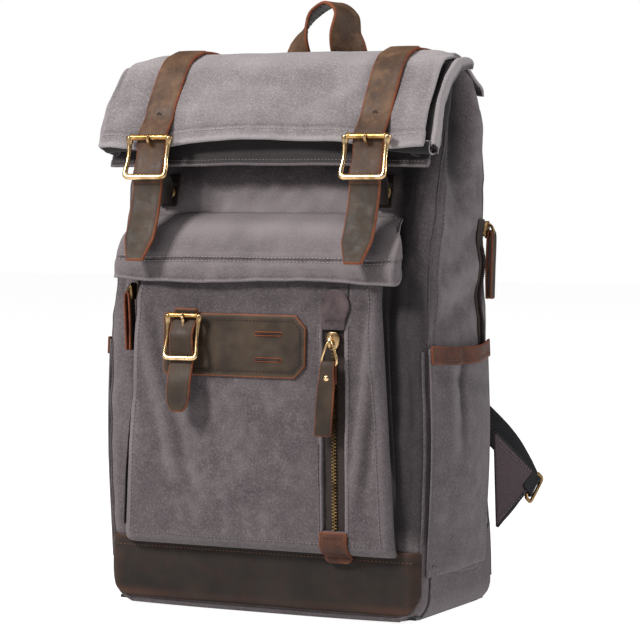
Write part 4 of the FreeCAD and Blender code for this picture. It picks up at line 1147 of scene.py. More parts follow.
STRAP_WIDE = 23.6
STRAP_THICK = 3.0
TOP_BAR = (FRONT - 9.2, RIDGE_Z - 67)
CENTRE_BAR = (FRONT - 0.5, RIDGE_Z - 82)
LOW_BAR = (FRONT - 17.5, RIDGE_Z - 98)
TAIL_HINGE = (FRONT - 12.5, RIDGE_Z - 106)


def over(point_of, x, shares, lift):
    """(y, z) points a distance outside a cloth surface."""
    line = []
    for share in shares:
        a, b = point_of(x, max(share - 0.01, 0.0)), point_of(x, min(share + 0.01, 1.0))
        step = unit((b - a)[1:])
        here = point_of(x, share)[1:]
        line.append((here[0] + step[1] * lift, here[1] - step[0] * lift))
    return line


def closing_strap(side):
    word = WORDS[side]
    x = side * STRAP_X
    top = over(lid_point, x, np.linspace(0.04, 0.86, 9), -2.9)
    root = [(SHOULDER[0] + 6.0, SHOULDER[1] - 12), (SHOULDER[0] + 7.2, SHOULDER[1] - 34)]
    thing = strip("strap_top_" + word, top + root, x, STRAP_WIDE, STRAP_THICK, LEATHER, count=60)
    bridge(thing, "leather_brown", "bag", "lid", *LID_FOLD, ["lid_straps", "strap_roots"] if side > 0 else ())

    down = over(flap_point, x, (0.12, 0.2, 0.3, 0.42, 0.55, 0.68, 0.8), 3.1)
    bend = [(FRONT - 4.4, TOP_BAR[1] + 1.5), (FRONT - 6.0, CENTRE_BAR[1] + 5),
            (CENTRE_BAR[0] - 7.6, CENTRE_BAR[1] - 4),
            (LOW_BAR[0] + 5.2, LOW_BAR[1] + 2), (TAIL_HINGE[0] + 0.4, TAIL_HINGE[1] + 3)]
    # Paler near the ridge; painted shade where the strap goes into the buckle and on the part held inside it.
    thing = strip("strap_front_" + word, down + bend, x, STRAP_WIDE, STRAP_THICK, LEATHER, count=120,
                  shade=lambda s: 0.10 * bump(s, 0.1, 0.1) - 0.35 * bump(s, 0.72, 0.05)
                  - 0.25 * smooth(0.74, 0.8, s))
    bridge(thing, "leather_brown", "flap", "strap_" + word, (RIDGE_Y + 1, 440.0), (RIDGE_Y - 15, 430.0),
           ["flap_strap_" + word])

    def tail_width(share):
        return STRAP_WIDE if share < 0.74 else STRAP_WIDE - 10.5 * (share - 0.74) / 0.26
    tail = [(TAIL_HINGE[0] + 0.6, TAIL_HINGE[1] + 6), (TAIL_HINGE[0] - 0.2, TAIL_HINGE[1] - 4),
            (TAIL_HINGE[0] - 6.5, TAIL_HINGE[1] - 26), (TAIL_HINGE[0] - 15.0, TAIL_HINGE[1] - 44),
            (TAIL_HINGE[0] - 20.6, TAIL_HINGE[1] - 56.5)]
    thing = strip("strap_end_" + word, tail, x, tail_width, STRAP_THICK, LEATHER_OLIVE, count=70)
    bridge(thing, "leather_brown", "strap_" + word, "tail_" + word, (0, TAIL_HINGE[1] + 4),
           (0, TAIL_HINGE[1] - 4),
           ["strap_tail_" + word])

    y, z = over(flap_point, x, (0.775,), 3.1 + STRAP_THICK / 2)[0]
    disc = (circle(x, y - 0.12, z, 1.5, 16), [tuple(range(15, -1, -1))])
    vertices, faces = joined([tube(circle(x, y - 0.1, z, 1.7, 16), 0.35, 6, closed=True), disc])
    finish_piece(piece("strap_hole_" + word, vertices, faces, [THREAD_DARK]), "strap_" + word)

    hang = [(CENTRE_BAR[0] - 2.9, CENTRE_BAR[1] - 1.5), (CENTRE_BAR[0] - 1.0, CENTRE_BAR[1] + 2.9),
            (CENTRE_BAR[0] + 2.9, CENTRE_BAR[1]),
            (CENTRE_BAR[0] + 3.4, CENTRE_BAR[1] - 8), (FRONT + 13.5, RIDGE_Z - 101),
            (FRONT + 14.4, RIDGE_Z - 119)]
    # Dark leather with a dark rim and painted shade: the chape stands in for the shadow behind the buckle.
    thing = strip("chape_loop_" + word, hang, x, 13.0, 1.6, LEATHER_DARK, rim=LEATHER_DARK, count=50,
                  shade=lambda s: -0.6)
    finish_piece(thing, "strap_" + word, ["chape_" + word])
    if side > 0:
        low, high = span("anchor_tabs")
        for turn in (-1, 1):
            base = [(on_line(FRONT_LINE, z) - 2.2, z) for z in np.linspace(high[2], low[2], 5)]
            # Dark leather with a dark rim and painted shade, for the shadow behind the buckles.
            tab = strip("anchor_tab_" + WORDS[turn], base, turn * STRAP_X, 14.0, 2.0, LEATHER_DARK,
                        rim=LEATHER_DARK, count=16, shade=lambda s: -0.6)
            finish_piece(tab, "bag", ["anchor_tabs"] if turn > 0 else ())


for SIDE in (-1, 1):
    closing_strap(SIDE)


# ---------------------------------------------------------------- buckles
def buckle(name, body, node, x, top, low, half, bar):
    """Cast frame: round ears on a roller bar, waisted cheeks and a heavy lower bar."""
    middle = ((top[0] + low[0]) / 2 + 0.8, (top[1] + low[1]) / 2)
    path = [(x - half + 1.2, top[0], top[1] + 0.4), (x - half + 1.8, middle[0], middle[1]),
            (x - half + 0.9, low[0] + 1.2, low[1] + 4.0), (x - half + 2.2, low[0] + 0.1, low[1] + 0.6),
            (x - half + 6.0, low[0], low[1]), (x, low[0], low[1])]
    path += [(2 * x - p[0], p[1], p[2]) for p in path[-2::-1]]
    path = curve(path, 120)
    radii = []
    for _, _, pz in path:
        rise = (pz - low[1]) / (top[1] - low[1])
        radii.append(bar * (0.86 + 0.42 * smooth(0.78, 0.98, rise) - 0.16 * bump(rise, 0.5, 0.25)
                            + 0.10 * (1 - smooth(0.0, 0.12, rise))))
    frame_part = tube(path, radii, 14, flat=0.86, up=(0, 1, 0))
    ends = np.linspace(-1, 1, 25)
    roller = [(x + e * (half - 2.2), top[0], top[1]) for e in ends]
    radius = [bar * (0.92 if abs(e) < 0.9 else 1.06) for e in ends]
    rings = tube(roller, radius, 16, up=(0, 0, 1))
    vertices, faces = joined([frame_part, rings])
    kinds = [0] * len(frame_part[1]) + [1] * len(rings[1])
    return finish_piece(piece(name, vertices, faces, [BRASS, ROLLER], kinds), body, [node])


def prong(name, body, node, x, centre, top, bar):
    """Tongue from the hidden centre bar, through the strap, resting on the top bar."""
    path = curve([(x, centre[0] - 0.4, centre[1] + 2.0), (x, centre[0] - 1.6, centre[1] + 5.0),
                  (x, top[0] - bar * 0.6, top[1] - bar - 1.6), (x, top[0] - bar - 1.1, top[1] - 0.8),
                  (x, top[0] - bar - 0.9, top[1] + 1.6)], 30)
    radii = 1.35 - 0.4 * smooth(0.75, 1.0, np.arange(30) / 29)
    body_part = tube(path, radii, 10, up=(0, 1, 0))
    eye = [(x, centre[0] + (bar + 0.5) * math.cos(t), centre[1] + (bar + 0.5) * math.sin(t))
           for t in np.linspace(0, 2 * math.pi, 25)[:-1]]
    vertices, faces = joined([body_part, tube(eye, 1.0, 8, closed=True, up=(1, 0, 0))])
    return finish_piece(piece(name, vertices, faces, [BRASS]), body, [node])


ROLLER = metal_material("brass_roller", linear(120, 88, 48), linear(186, 146, 88), 0.3)
for SIDE, WORD in WORDS.items():
    buckle("buckle_" + WORD + "_cast", "buckle_" + WORD, "buckle_frame_" + WORD, SIDE * STRAP_X, TOP_BAR,
           LOW_BAR, 19.0, 2.5)
    prong("prong_" + WORD + "_tongue", "prong_" + WORD, "buckle_prong_" + WORD, SIDE * STRAP_X, CENTRE_BAR,
          TOP_BAR, 2.4)


# ---------------------------------------------------------------- leather patch with its small buckle
PATCH_LOW_CORNER, PATCH_HIGH_CORNER = span("leather_patch")
SMALL_LOW, SMALL_HIGH = span("patch_buckle")
SMALL_X = (SMALL_LOW[0] + SMALL_HIGH[0]) / 2
SMALL_TOP = (PATCH_LOW_CORNER[1] - 5.6, PATCH_HIGH_CORNER[2] - 1)
SMALL_BAR = (PATCH_LOW_CORNER[1] - 12.5, PATCH_HIGH_CORNER[2] - 34)
SMALL_CENTRE = (PATCH_LOW_CORNER[1] - 5.2, PATCH_HIGH_CORNER[2] - 18)


def pocket_surface(x, z):
    """A point of the pocket's front at x and z."""
    return pocket_place(x / (pocket_half(z) - POCKET_ROUND) * FACE_SHARE, z)


def patch_outline(u, v):
    """Patch position for u, v in 0 to 1; the right-hand corners are cut."""
    low, high = PATCH_LOW_CORNER, PATCH_HIGH_CORNER
    z = low[2] + v * (high[2] - low[2])
    cut = max(0.0, 9.0 - min(z - low[2], high[2] - z))
    near = max(0.0, 2.5 - min(z - low[2], high[2] - z))
    left, right = low[0] + 2.5 - math.sqrt(max(6.25 - near ** 2, 0.0)), high[0] - cut
    return left + u * (right - left), z


def leather_patch():
    us, vs = spread(0, 1, 70), spread(0, 1, 36)
    lift = np.array([0, -1.9, 0])
    grid = [[pocket_surface(*patch_outline(u, v)) + lift for u in us] for v in vs]
    rims = [min(u * 124, (1 - u) * 124, v * 47, (1 - v) * 47) for v in vs for u in us]
    shade = [-0.15 * bump(rim, 4.0, 1.5) + 0.25 * bump(rim, 0.0, 1.5) for rim in rims]
    thing = sheet("leather_patch_sheet", grid, 2.0, [LEATHER_OLIVE, LEATHER_DARK, EDGE], shade)
    finish_piece(thing, "bag", ["leather_patch"])
    border = []
    inset = 4.0
    low, high = PATCH_LOW_CORNER, PATCH_HIGH_CORNER
    corners = [(low[0] + inset, low[2] + inset), (high[0] - 10.5, low[2] + inset),
               (high[0] - inset, low[2] + 10.5),
               (high[0] - inset, high[2] - 10.5), (high[0] - 10.5, high[2] - inset),
               (low[0] + inset, high[2] - inset),
               (low[0] + inset, low[2] + inset)]
    for (x0, z0), (x1, z1) in zip(corners, corners[1:]):
        for t in np.linspace(0, 1, 20)[:-1]:
            x, z = x0 + (x1 - x0) * t, z0 + (z1 - z0) * t
            border.append(pocket_surface(x, z) + np.array([0, -3.0, 0]))
    finish_piece(stitches("patch_stitches", [(border, (0, -1, 0))], THREAD_DARK, 3.0, 1.8, 0.42), "bag")
    slots, rims = [], []
    for z in (low[2] + 13, low[2] + 33):
        left, right = high[0] - 42, high[0] - 20
        path = [pocket_surface(x, z) + np.array([0, -2.8, 0]) for x in np.linspace(left, right, 12)]
        slots.append(tube(path, 1.3, 8, flat=0.3, up=(0, 0, 1)))
        ends = [(left, z - 1.4), (right, z - 1.4), (right + 1.2, z), (right, z + 1.4), (left, z + 1.4),
                (left - 1.2, z)]
        rims.append(tube(np.array([pocket_surface(x, h) + np.array([0, -3.0, 0]) for x, h in ends]), 0.55, 6,
                         closed=True))
    finish_piece(piece("patch_slots", *joined(slots), [THREAD_DARK]), "bag")
    finish_piece(piece("patch_slot_edges", *joined(rims), [EDGE]), "bag")


def patch_tail():
    tip = SMALL_BAR[1] - 41

    def width(share):
        return 19.0 if share < 0.86 else 19.0 * math.sqrt(max(1 - ((share - 0.86) / 0.145) ** 2,
                                                              0.02)) * 0.8 + 3.0
    line = [(SMALL_TOP[0] + 4.2, SMALL_TOP[1] + 4.5), (SMALL_TOP[0] + 4.0, SMALL_TOP[1] - 1.5),
            (SMALL_CENTRE[0] - 4.4, SMALL_CENTRE[1] + 4), (SMALL_CENTRE[0] - 5.0, SMALL_CENTRE[1] - 3),
            (SMALL_BAR[0] + 4.0, SMALL_BAR[1] + 1.0), (SMALL_BAR[0] + 2.6, SMALL_BAR[1] - 6),
            (SMALL_BAR[0] - 1.6, SMALL_BAR[1] - 20), (SMALL_BAR[0] - 4.2, tip)]
    thing = strip("patch_strap_tail", line, SMALL_X, width, 2.2, LEATHER_OLIVE, count=90)
    finish_piece(thing, "bag", ["patch_strap"])
    dots = []
    for y, z in ((SMALL_BAR[0] - 4.7, tip + 8.0), (SMALL_CENTRE[0] - 6.1, SMALL_CENTRE[1] + 0.5)):
        ring = circle(SMALL_X, y, z, 1.3, 14)
        dots.append((ring, [tuple(range(13, -1, -1))]))
        dots.append(tube(ring, 0.3, 6, closed=True))
    vertices, faces = joined(dots)
    finish_piece(piece("patch_strap_holes", vertices, faces, [THREAD_DARK]), "bag")


leather_patch()
patch_tail()
buckle("small_buckle_cast", "small_buckle", "patch_buckle", SMALL_X, SMALL_TOP, SMALL_BAR, 15.0, 2.1)
prong("small_prong_tongue", "small_prong", "patch_prong", SMALL_X, SMALL_CENTRE, SMALL_TOP, 2.0)


# ---------------------------------------------------------------- base: leather band, side pieces, piping
def base_leather():
    us, zs = spread(-1, 1, 90), spread(BAND_LOW[2] - 1.0, BAND_HIGH[2] + 2.0, 26, (BAND_HIGH[2] - 1.5,))
    rows, shade = [], []
    low = zs[0]
    for z in zs:
        drop = max(0.0, FOOT_CORNER - 1 + low - z)
        half = HALF - 0.5 - (FOOT_CORNER - 1 - math.sqrt(max((FOOT_CORNER - 1) ** 2 - drop ** 2, 0.0)))
        row = []
        for u in us:
            x = u * half
            bulge = 0.5 * rough(x, 0, z, 40.0, 41.0) + 0.6 * bump(z, 30, 16)
            y = FRONT - 1.6 - bulge + 5.0 * smooth(HALF - 9, HALF + 1,
                                                   abs(x)) ** 2 + 3.5 * (1 - smooth(4, 14, z)) ** 2
            row.append((x, y, z))
            shade.append(0.22 * bump(z, zs[-1], 3.0)
                         + 0.18 * smooth(96, 134, abs(x)) * rough(x, 0, z, 9.0, 42.0)
                         + 0.5 * bump(z, low + 3, 3.5) * smooth(60, 130, abs(x))
                         - 0.2 * bump(z, BAND_HIGH[2] - 6, 1.6))
        rows.append(row)
    thing = sheet("base_leather", rows, 2.0, [LEATHER_DARK] * 3, shade, 0.3)
    finish_piece(thing, "bag", ["leather_base_band"])
    row = []
    for x in np.linspace(-HALF + 5, HALF - 5, 200):
        bulge = 0.5 * rough(x, 0, BAND_HIGH[2] - 5, 40.0, 41.0) + 0.6 * bump(BAND_HIGH[2] - 5, 30, 16)
        row.append((x, FRONT - 2.3 - bulge + 5.0 * smooth(HALF - 9, HALF + 1, abs(x)) ** 2, BAND_HIGH[2] - 5))
    finish_piece(stitches("base_stitches", [(row, (0, -1, 0))], THREAD_BROWN, 3.2, 2.1, 0.42), "bag")


def side_base(side):
    """Canvas piece that wraps the foot of one side, its top seam rising to the back."""
    word = WORDS[side]
    low = 2.5

    def seam_height(share):
        run = share if side > 0 else 1 - share
        return 44.0 - 9.0 * math.sin(run * 2.4) + 26.0 * smooth(0.72, 1.0, run)

    def spot(share, z, out, lift=0.0):
        point = body_point(word, share, z / shell_top(share if side > 0 else 1 - share))
        return point + np.array([side * out, 0, lift])
    rows = []
    for step in np.linspace(0, 1, 18):
        out = 1.1 + 0.5 * bump(step, 0.97, 0.05)
        rows.append([spot(s, low + (seam_height(s) - low) * step, out) for s in np.linspace(0.0, 0.995, 50)])
    finish_piece(sheet("side_base_" + word, rows, 1.8, [CANVAS] * 3, -0.08), "bag")
    line = [spot(s, seam_height(s) - 3.5, 2.3) for s in np.linspace(0.02, 0.97, 80)]
    finish_piece(stitches("side_base_stitches_" + word, [(line, (side, 0, 0))], THREAD, 3.2, 2.2, 0.36), "bag")
    edge = [spot(s, seam_height(s), 1.6, 0.6) for s in np.linspace(0.0, 0.995, 60)]
    finish_piece(piece("side_base_seam_" + word, *tube(edge, 1.0, 8), [CANVAS]), "bag")


def body_piping():
    """Corded seams: round the foot of the front, up both front corners and up both back corners."""
    parts = []
    corner = FOOT_CORNER
    x_out, low = HALF - 2.4, 3.2
    y = FRONT + 1.0
    path = [(-x_out + 0.8, y + 2.2, 58), (-x_out + 0.2, y + 1.0, 44), (-x_out, y + 0.4, low + corner)]
    for step in range(1, 6):
        angle = math.pi / 2 * step / 6
        path.append((-x_out + corner - corner * math.cos(angle), y, low + corner - corner * math.sin(angle)))
    path += [(-x_out + corner, y, low), (-60, y - 0.8, low - 0.5), (0, y - 1.0, low - 0.6)]
    path += [(-p[0], p[1], p[2]) for p in path[-2::-1]]
    parts.append(tube(curve(path, 260), 1.7, 10))
    for part, share, bottom, top, count, lift, radius in (
            ("corner_fr", 0.5, 0.10, 0.5, 90, 0.3, 1.1), ("corner_fl", 0.5, 0.10, 0.5, 90, 0.3, 1.1),
            ("corner_br", 0.45, 0.05, 0.93, 110, 0.4, 1.5), ("corner_bl", 0.55, 0.05, 0.93, 110, 0.4, 1.5),
            ("corner_fr", 0.75, 0.38, 0.90, 90, 0.1, 0.9), ("corner_fl", 0.25, 0.38, 0.90, 90, 0.1, 0.9)):
        points, _ = body_path(part, share, bottom, top, count, lift)
        parts.append(tube(points, radius, 8))
    vertices, faces = joined(parts)
    thing = piece("body_piping", vertices, faces, [CANVAS], shade=np.full(len(vertices), 0.12))
    finish_piece(thing, "bag", ["edge_piping"])
    lines = [body_path(part, share, 0.14, 0.9, 140, 0.1) for part, share in (("right", 0.04), ("left", 0.96))]
    finish_piece(stitches("seam_stitches", lines, THREAD, 3.4, 2.3, 0.33), "bag")


base_leather()
for SIDE in (-1, 1):
    side_base(SIDE)
body_piping()


# ---------------------------------------------------------------- side pockets
SIDE_POCKET_LOW, SIDE_POCKET_HIGH = span("side_pocket_right")


def side_pocket_place(side, share, z):
    """Share runs from the front seam to the back seam; a little fuller than the body behind it."""
    low, high = SIDE_POCKET_LOW, SIDE_POCKET_HIGH
    y = low[1] + share * (high[1] + 1.5 - low[1])
    rise = (z - low[2]) / (high[2] - low[2])
    base = HALF + 1.0 + swell(z) + 5.0 * bump(y, (FRONT + BACK) / 2 - 8, 40) * smooth(20, 120, z)
    full = math.sin(math.pi * min(max(share, 0.0), 1.0)) ** 0.8
    out = (3.0 + 3.6 * smooth(0.0, 0.45, rise)) * full
    out += 1.3 * rough(0, y, z, 34.0, 51.0) + 0.6 * rough(0, y, z, 13.0, 52.0)
    out -= 2.8 * bump(share, 0.33 + 0.04 * rise, 0.045) * smooth(0.35, 0.8, rise)
    out += 1.8 * bump(share, 0.24, 0.05) * smooth(0.3, 0.7, rise)
    out -= 1.5 * bump(rise, 0.86 - 0.1 * share, 0.05)
    sag = 2.5 * math.sin(math.pi * share) * smooth(0.8, 1.0, rise)
    return np.array([side * (base + max(out, 0.3)), y, z - sag])


def side_pocket(side):
    word = WORDS[side]
    low, high = SIDE_POCKET_LOW[2] - 16, SIDE_POCKET_HIGH[2]
    shares = np.linspace(0, 1, 60)[::side]

    # Painted light on the fold's ridge and painted shade in the crease beside it and at the front seam.
    def tone(share, z):
        rise = (z - low) / (high - low)
        fold = 0.12 * bump(share, 0.24, 0.05) * smooth(0.3, 0.7, rise)
        return fold - 0.35 * bump(share, 0.33 + 0.04 * rise, 0.05) * smooth(0.3, 0.8,
                                                                            rise) - 0.2 * bump(share, 0, 0.03)

    def row(z, places, lift):
        return [side_pocket_place(side, s, z) + np.array([side * lift, 0, 0]) for s in places]
    zs = np.linspace(low, high - 1.0, 64)
    thing = sheet("side_pocket_cloth_" + word, [row(z, shares, 0.0) for z in zs], 2.0, [CANVAS, LINING, CANVAS],
                  [tone(s, z) for z in zs for s in shares])
    finish_piece(thing, "bag", ["side_pocket_" + word])
    rows = [row(z, shares, 1.9) for z in np.linspace(high - 11.5, high + 0.8, 12)]
    thing = sheet("side_pocket_binding_" + word, rows, 1.8, [LEATHER_RED, LEATHER_RED, EDGE])
    finish_piece(thing, "bag", ["side_pocket_bands"] if side > 0 else ())
    lines = [(row(high - 8.8, np.linspace(0.03, 0.97, 80), 3.0), (side, 0, 0))]
    finish_piece(stitches("side_pocket_stitches_" + word, lines, THREAD_BROWN, 3.0, 2.0, 0.36), "bag")


for SIDE in (-1, 1):
    side_pocket(SIDE)


# ---------------------------------------------------------------- zips
TOOTH_PITCH = 2.5
TOOTH = (3.0, 1.25, 1.9)
TAPE_THICK = 0.8


def tooth_row(centres, across, out):
    """Interlocked teeth along a line of centres; across and out are unit vectors."""
    run = np.concatenate([[0], np.cumsum(np.linalg.norm(np.diff(centres, axis=0), axis=1))])
    count = int(run[-1] / TOOTH_PITCH * 2)
    parts = []
    for index in range(count):
        where = (index + 0.5) * run[-1] / count
        middle = np.array([np.interp(where, run, centres[:, k]) for k in range(3)])
        step = unit(np.array([np.interp(min(where + 1, run[-1]), run, centres[:, k]) for k in range(3)])
                    - middle + 1e-9)
        hand = 1 if index % 2 else -1
        middle = middle + across * hand * 0.9
        corners = []
        for a in (-1, 1):
            for b in (-1, 1):
                for c, share in ((0, 1.0), (1, 0.72)):
                    corners.append(middle + across * a * TOOTH[0] / 2 * share + step * b * TOOTH[1] / 2 * share
                                   + out * (c - 0.5) * TOOTH[2])
        faces = [(0, 1, 3, 2), (4, 6, 7, 5), (0, 4, 5, 1), (2, 3, 7, 6), (1, 5, 7, 3), (0, 2, 6, 4)]
        parts.append((np.array(corners), faces))
    return joined(parts)


def zip_tape(name, centres, across, half, replaced=()):
    grid = [[c + across * a * half for a in np.linspace(-1, 1, 7)] for c in centres]
    finish_piece(sheet(name, grid, TAPE_THICK, [ZIP_TAPE] * 3), "bag", replaced)


def front_zip():
    low, high = ZIP_BOTTOM + 1, ZIP_TOP - 1
    centres = np.array([(ZIP_X, pocket_surface(ZIP_X, z)[1] + 1.9, z) for z in np.linspace(low, high, 80)])
    across, out = np.array([1.0, 0, 0]), np.array([0, -1.0, 0])
    for hand, word in WORDS.items():
        zip_tape("zip_tape_" + word, centres + across * hand * 5.3, across, 4.9, ["zip_tapes"]
                 if hand > 0 else ())
    vertices, faces = tooth_row(centres[:-6] + out, across, out)
    finish_piece(piece("front_teeth", vertices, faces, [ANTIQUE], smoothed=False), "bag",
                 ["zip_teeth"])
    lines = []
    for hand in (-1, 1):
        row = [pocket_surface(ZIP_X + hand * 12.6, z) + np.array([0, -1.3, 0])
               for z in np.linspace(low - 4, high + 3, 90)]
        lines.append((row, (0, -1, 0)))
    finish_piece(stitches("zip_stitches", lines, THREAD, 3.0, 2.0, 0.34), "bag")


def rounded_patch(name, outline, steps, lift, thickness, materials, replaced=()):
    """A patch on the pocket: outline gives (left, right) at a height share, on the pocket's cloth."""
    rows = []
    for v in steps:
        left, right, z = outline(v)
        rows.append([pocket_surface(x, z) + np.array([0, -lift, 0]) for x in np.linspace(left, right, 22)])
    return finish_piece(sheet(name, rows, thickness, materials), "bag", replaced)


def zip_patches():
    middle = ZIP_TOP + 16

    def top(v):
        z = ZIP_TOP - 0.5 + v * 29.0
        rise = z - middle
        half = 12.5 * math.sqrt(max(1 - (rise / 12.6) ** 2, 0.02)) if rise > 0 else 12.5 - 2.6 * smooth(0, 12,
                                                                                                        -rise)
        return ZIP_X - half, ZIP_X + half, z
    rounded_patch("zip_top_patch", top, spread(0, 1, 26, (0.97, 0.985)), 2.0, 1.6, [SUEDE] * 3,
                  ["front_zip_patches"])

    def foot(v):
        z = ZIP_BOTTOM - 24 + v * 23.5
        near = max(0.0, 4.0 - 23.5 * v)
        half = 11.0 - (4.0 - math.sqrt(max(16.0 - near ** 2, 0.0)))
        return ZIP_X - half, ZIP_X + half, z
    rounded_patch("zip_foot_patch", foot, spread(0, 1, 20, (0.02, 0.05, 0.1)), 2.0, 1.8,
                  [LEATHER_RED, LEATHER_RED, EDGE])
    row = [pocket_surface(x, ZIP_BOTTOM - 4.5) + np.array([0, -3.0, 0])
           for x in np.linspace(ZIP_X - 8.5, ZIP_X + 8.5, 12)]
    arc = [pocket_surface(ZIP_X + 6.5 * math.cos(t), ZIP_TOP + 4 + 2.4 * math.sin(t)) + np.array([0, -2.9, 0])
           for t in np.linspace(0, math.pi, 14)]
    finish_piece(stitches("zip_patch_stitches", [(row, (0, -1, 0)), (arc, (0, -1, 0))], THREAD_DARK, 2.6, 1.7,
                          0.36),
                 "bag")


def turned(points, place, turn):
    """Local points, facing -Y, turned about +Z and put at a place."""
    angle = math.radians(turn)
    c, s = math.cos(angle), math.sin(angle)
    points = np.asarray(points, float)
    moved = np.stack([points[:, 0] * c - points[:, 1] * s, points[:, 0] * s + points[:, 1] * c, points[:, 2]],
                     axis=1)
    return moved + np.array(place)


def slider_mesh(place, turn):
    """Zip slider: arched plate, side wings, crown and the pin that carries its pull."""
    parts = []
    rows = []
    for z, half in ((4.4, 2.8), (3.6, 4.2), (1.0, 4.9), (-3.5, 4.4), (-7.0, 3.4), (-8.2, 2.2)):
        rows.append([(x * half, -1.6 - 1.3 * (1 - x * x), z) for x in np.linspace(-1, 1, 9)])
    vertices, faces, _ = thick_sheet(np.array(rows), 1.3, flip=True)
    parts.append((vertices, faces))
    for hand in (-1, 1):
        parts.append(tube([(hand * 4.4, -0.6, 3.0), (hand * 4.9, -0.9, 0.5), (hand * 4.2, -0.7, -4.5),
                           (hand * 3.0, -0.6, -7.0)],
                          0.9, 8))
    crown = curve([(0, -2.6, 2.6), (0, -5.4, 1.2), (0, -7.2, -2.0), (0, -7.0, -5.6), (0, -4.6, -7.0),
                   (0, -2.4, -6.8)], 24)
    parts.append(tube(crown, 1.25, 10, up=(1, 0, 0)))
    parts.append(tube([(-2.4, -5.6, -4.0), (2.4, -5.6, -4.0)], 0.8, 10))
    vertices, faces = joined(parts)
    return turned(vertices, place, turn), faces


def front_pull():
    place = (ZIP_X, POCKET_FACE - 0.8, ZIP_HIGH_CORNER[2] - 4.0)
    vertices, faces = slider_mesh(place, 0)
    finish_piece(piece("front_slider_cast", vertices, faces, [BRASS]), "front_slider",
                 ["front_zip_slider"])
    pin = (place[1] - 5.6, place[2] - 4.0)
    ring = curve([(0, pin[0] - 0.2, pin[1] + 1.6), (2.6, pin[0] - 0.8, pin[1] - 0.4),
                  (4.6, pin[0] - 1.5, pin[1] - 6),
                  (6.4, pin[0] - 1.7, pin[1] - 12), (5.2, pin[0] - 1.6, pin[1] - 15.6),
                  (0, pin[0] - 1.5, pin[1] - 16.4),
                  (-5.2, pin[0] - 1.6, pin[1] - 15.6), (-6.4, pin[0] - 1.7, pin[1] - 12),
                  (-4.6, pin[0] - 1.5, pin[1] - 6),
                  (-2.6, pin[0] - 0.8, pin[1] - 0.4)], 60, closed=True)
    ring[:, 0] += ZIP_X
    finish_piece(piece("pull_ring", *tube(ring, 1.05, 10, closed=True, up=(0, 1, 0)), [BRASS]), "front_pull",
                 ["front_zip_bail"])
    rows = []
    line = curve([(pin[0] + 0.4, pin[1] - 30), (pin[0] + 0.5, pin[1] - 19), (pin[0] - 0.6, pin[1] - 14.0),
                  (pin[0] - 2.8, pin[1] - 14.2), (pin[0] - 3.9, pin[1] - 19), (pin[0] - 3.4, pin[1] - 30),
                  (pin[0] - 3.0, pin[1] - 50), (pin[0] - 2.2, pin[1] - 70)], 70)
    for y, z in line:
        lean = -(pin[1] - z) ** 1.25 * 0.028
        half = 5.0 + 1.6 * smooth(14, 30, pin[1] - z) - 0.6 * bump(pin[1] - z, 26, 5)
        rows.append([(ZIP_X + lean + a * half, y, z) for a in np.linspace(-1, 1, 9)])
    finish_piece(sheet("pull_tab", rows, 1.8, [LEATHER_RED, LEATHER_OLIVE, EDGE]), "front_pull",
                 ["front_zip_tab"])
    rings = []
    for angle in np.linspace(0.05, math.pi / 2, 7):
        rings += circle(ZIP_X - 1.4, pin[0] - 4.3 - 1.1 * math.cos(angle), pin[1] - 26.0, 2.3 * math.sin(angle),
                        20)
    dome = (rings, grid_faces(7, 20, wrap=True) + [tuple(range(20))])
    finish_piece(piece("pull_rivet", *dome, [BRASS]), "front_pull", ["front_zip_rivet"])


def side_zip():
    """Zip on the pocket's left side, with its leather pull."""
    low, high = span("pocket_zip_slider")
    y = (low[1] + high[1]) / 2
    zs = np.linspace(POCKET_BOTTOM + 14, POCKET_TOP - 9, 70)
    centres = np.array([(pocket_place(-1.55, z)[0] - 1.2, y, z) for z in zs])
    across, out = np.array([0, 1.0, 0]), np.array([-1.0, 0, 0])
    zip_tape("side_zip_tape", centres, across, 5.5)
    vertices, faces = tooth_row(centres[:-8] + out, across, out)
    finish_piece(piece("side_zip_teeth", vertices, faces, [ANTIQUE], smoothed=False), "bag")
    place = (high[0] - 0.2, y, high[2] - 4.0)
    vertices, faces = slider_mesh(place, -90)
    finish_piece(piece("side_slider_cast", vertices, faces, [ANTIQUE]), "side_slider",
                 ["pocket_zip_slider"])
    leather_loop("side_pull_loop", "side_pull", "pocket_zip_pull", place, -90, 44.0)


def leather_loop(name, body, node, place, turn, length):
    """Narrow leather folded through the slider's crown, its two halves sewn together below."""
    half, gap = 3.6, 2.2
    line = curve([(-5.2 + gap, -4 - length), (-5.0 + gap, -4 - length * 0.6), (-3.6, -12), (-4.3, -4.4),
                  (-5.8, -2.6), (-7.4, -4.4),
                  (-7.8, -12), (-7.0, -4 - length * 0.6), (-6.4, -4 - length)], 70)
    rows = [[(a * half, y, z) for a in np.linspace(-1, 1, 7)] for y, z in line]
    vertices, faces, kinds = thick_sheet(np.array(rows), 1.7)
    vertices = turned(vertices, place, turn)
    return finish_piece(piece(name, vertices, faces, [LEATHER_RED, LEATHER_OLIVE, EDGE], kinds), body,
                        [node])


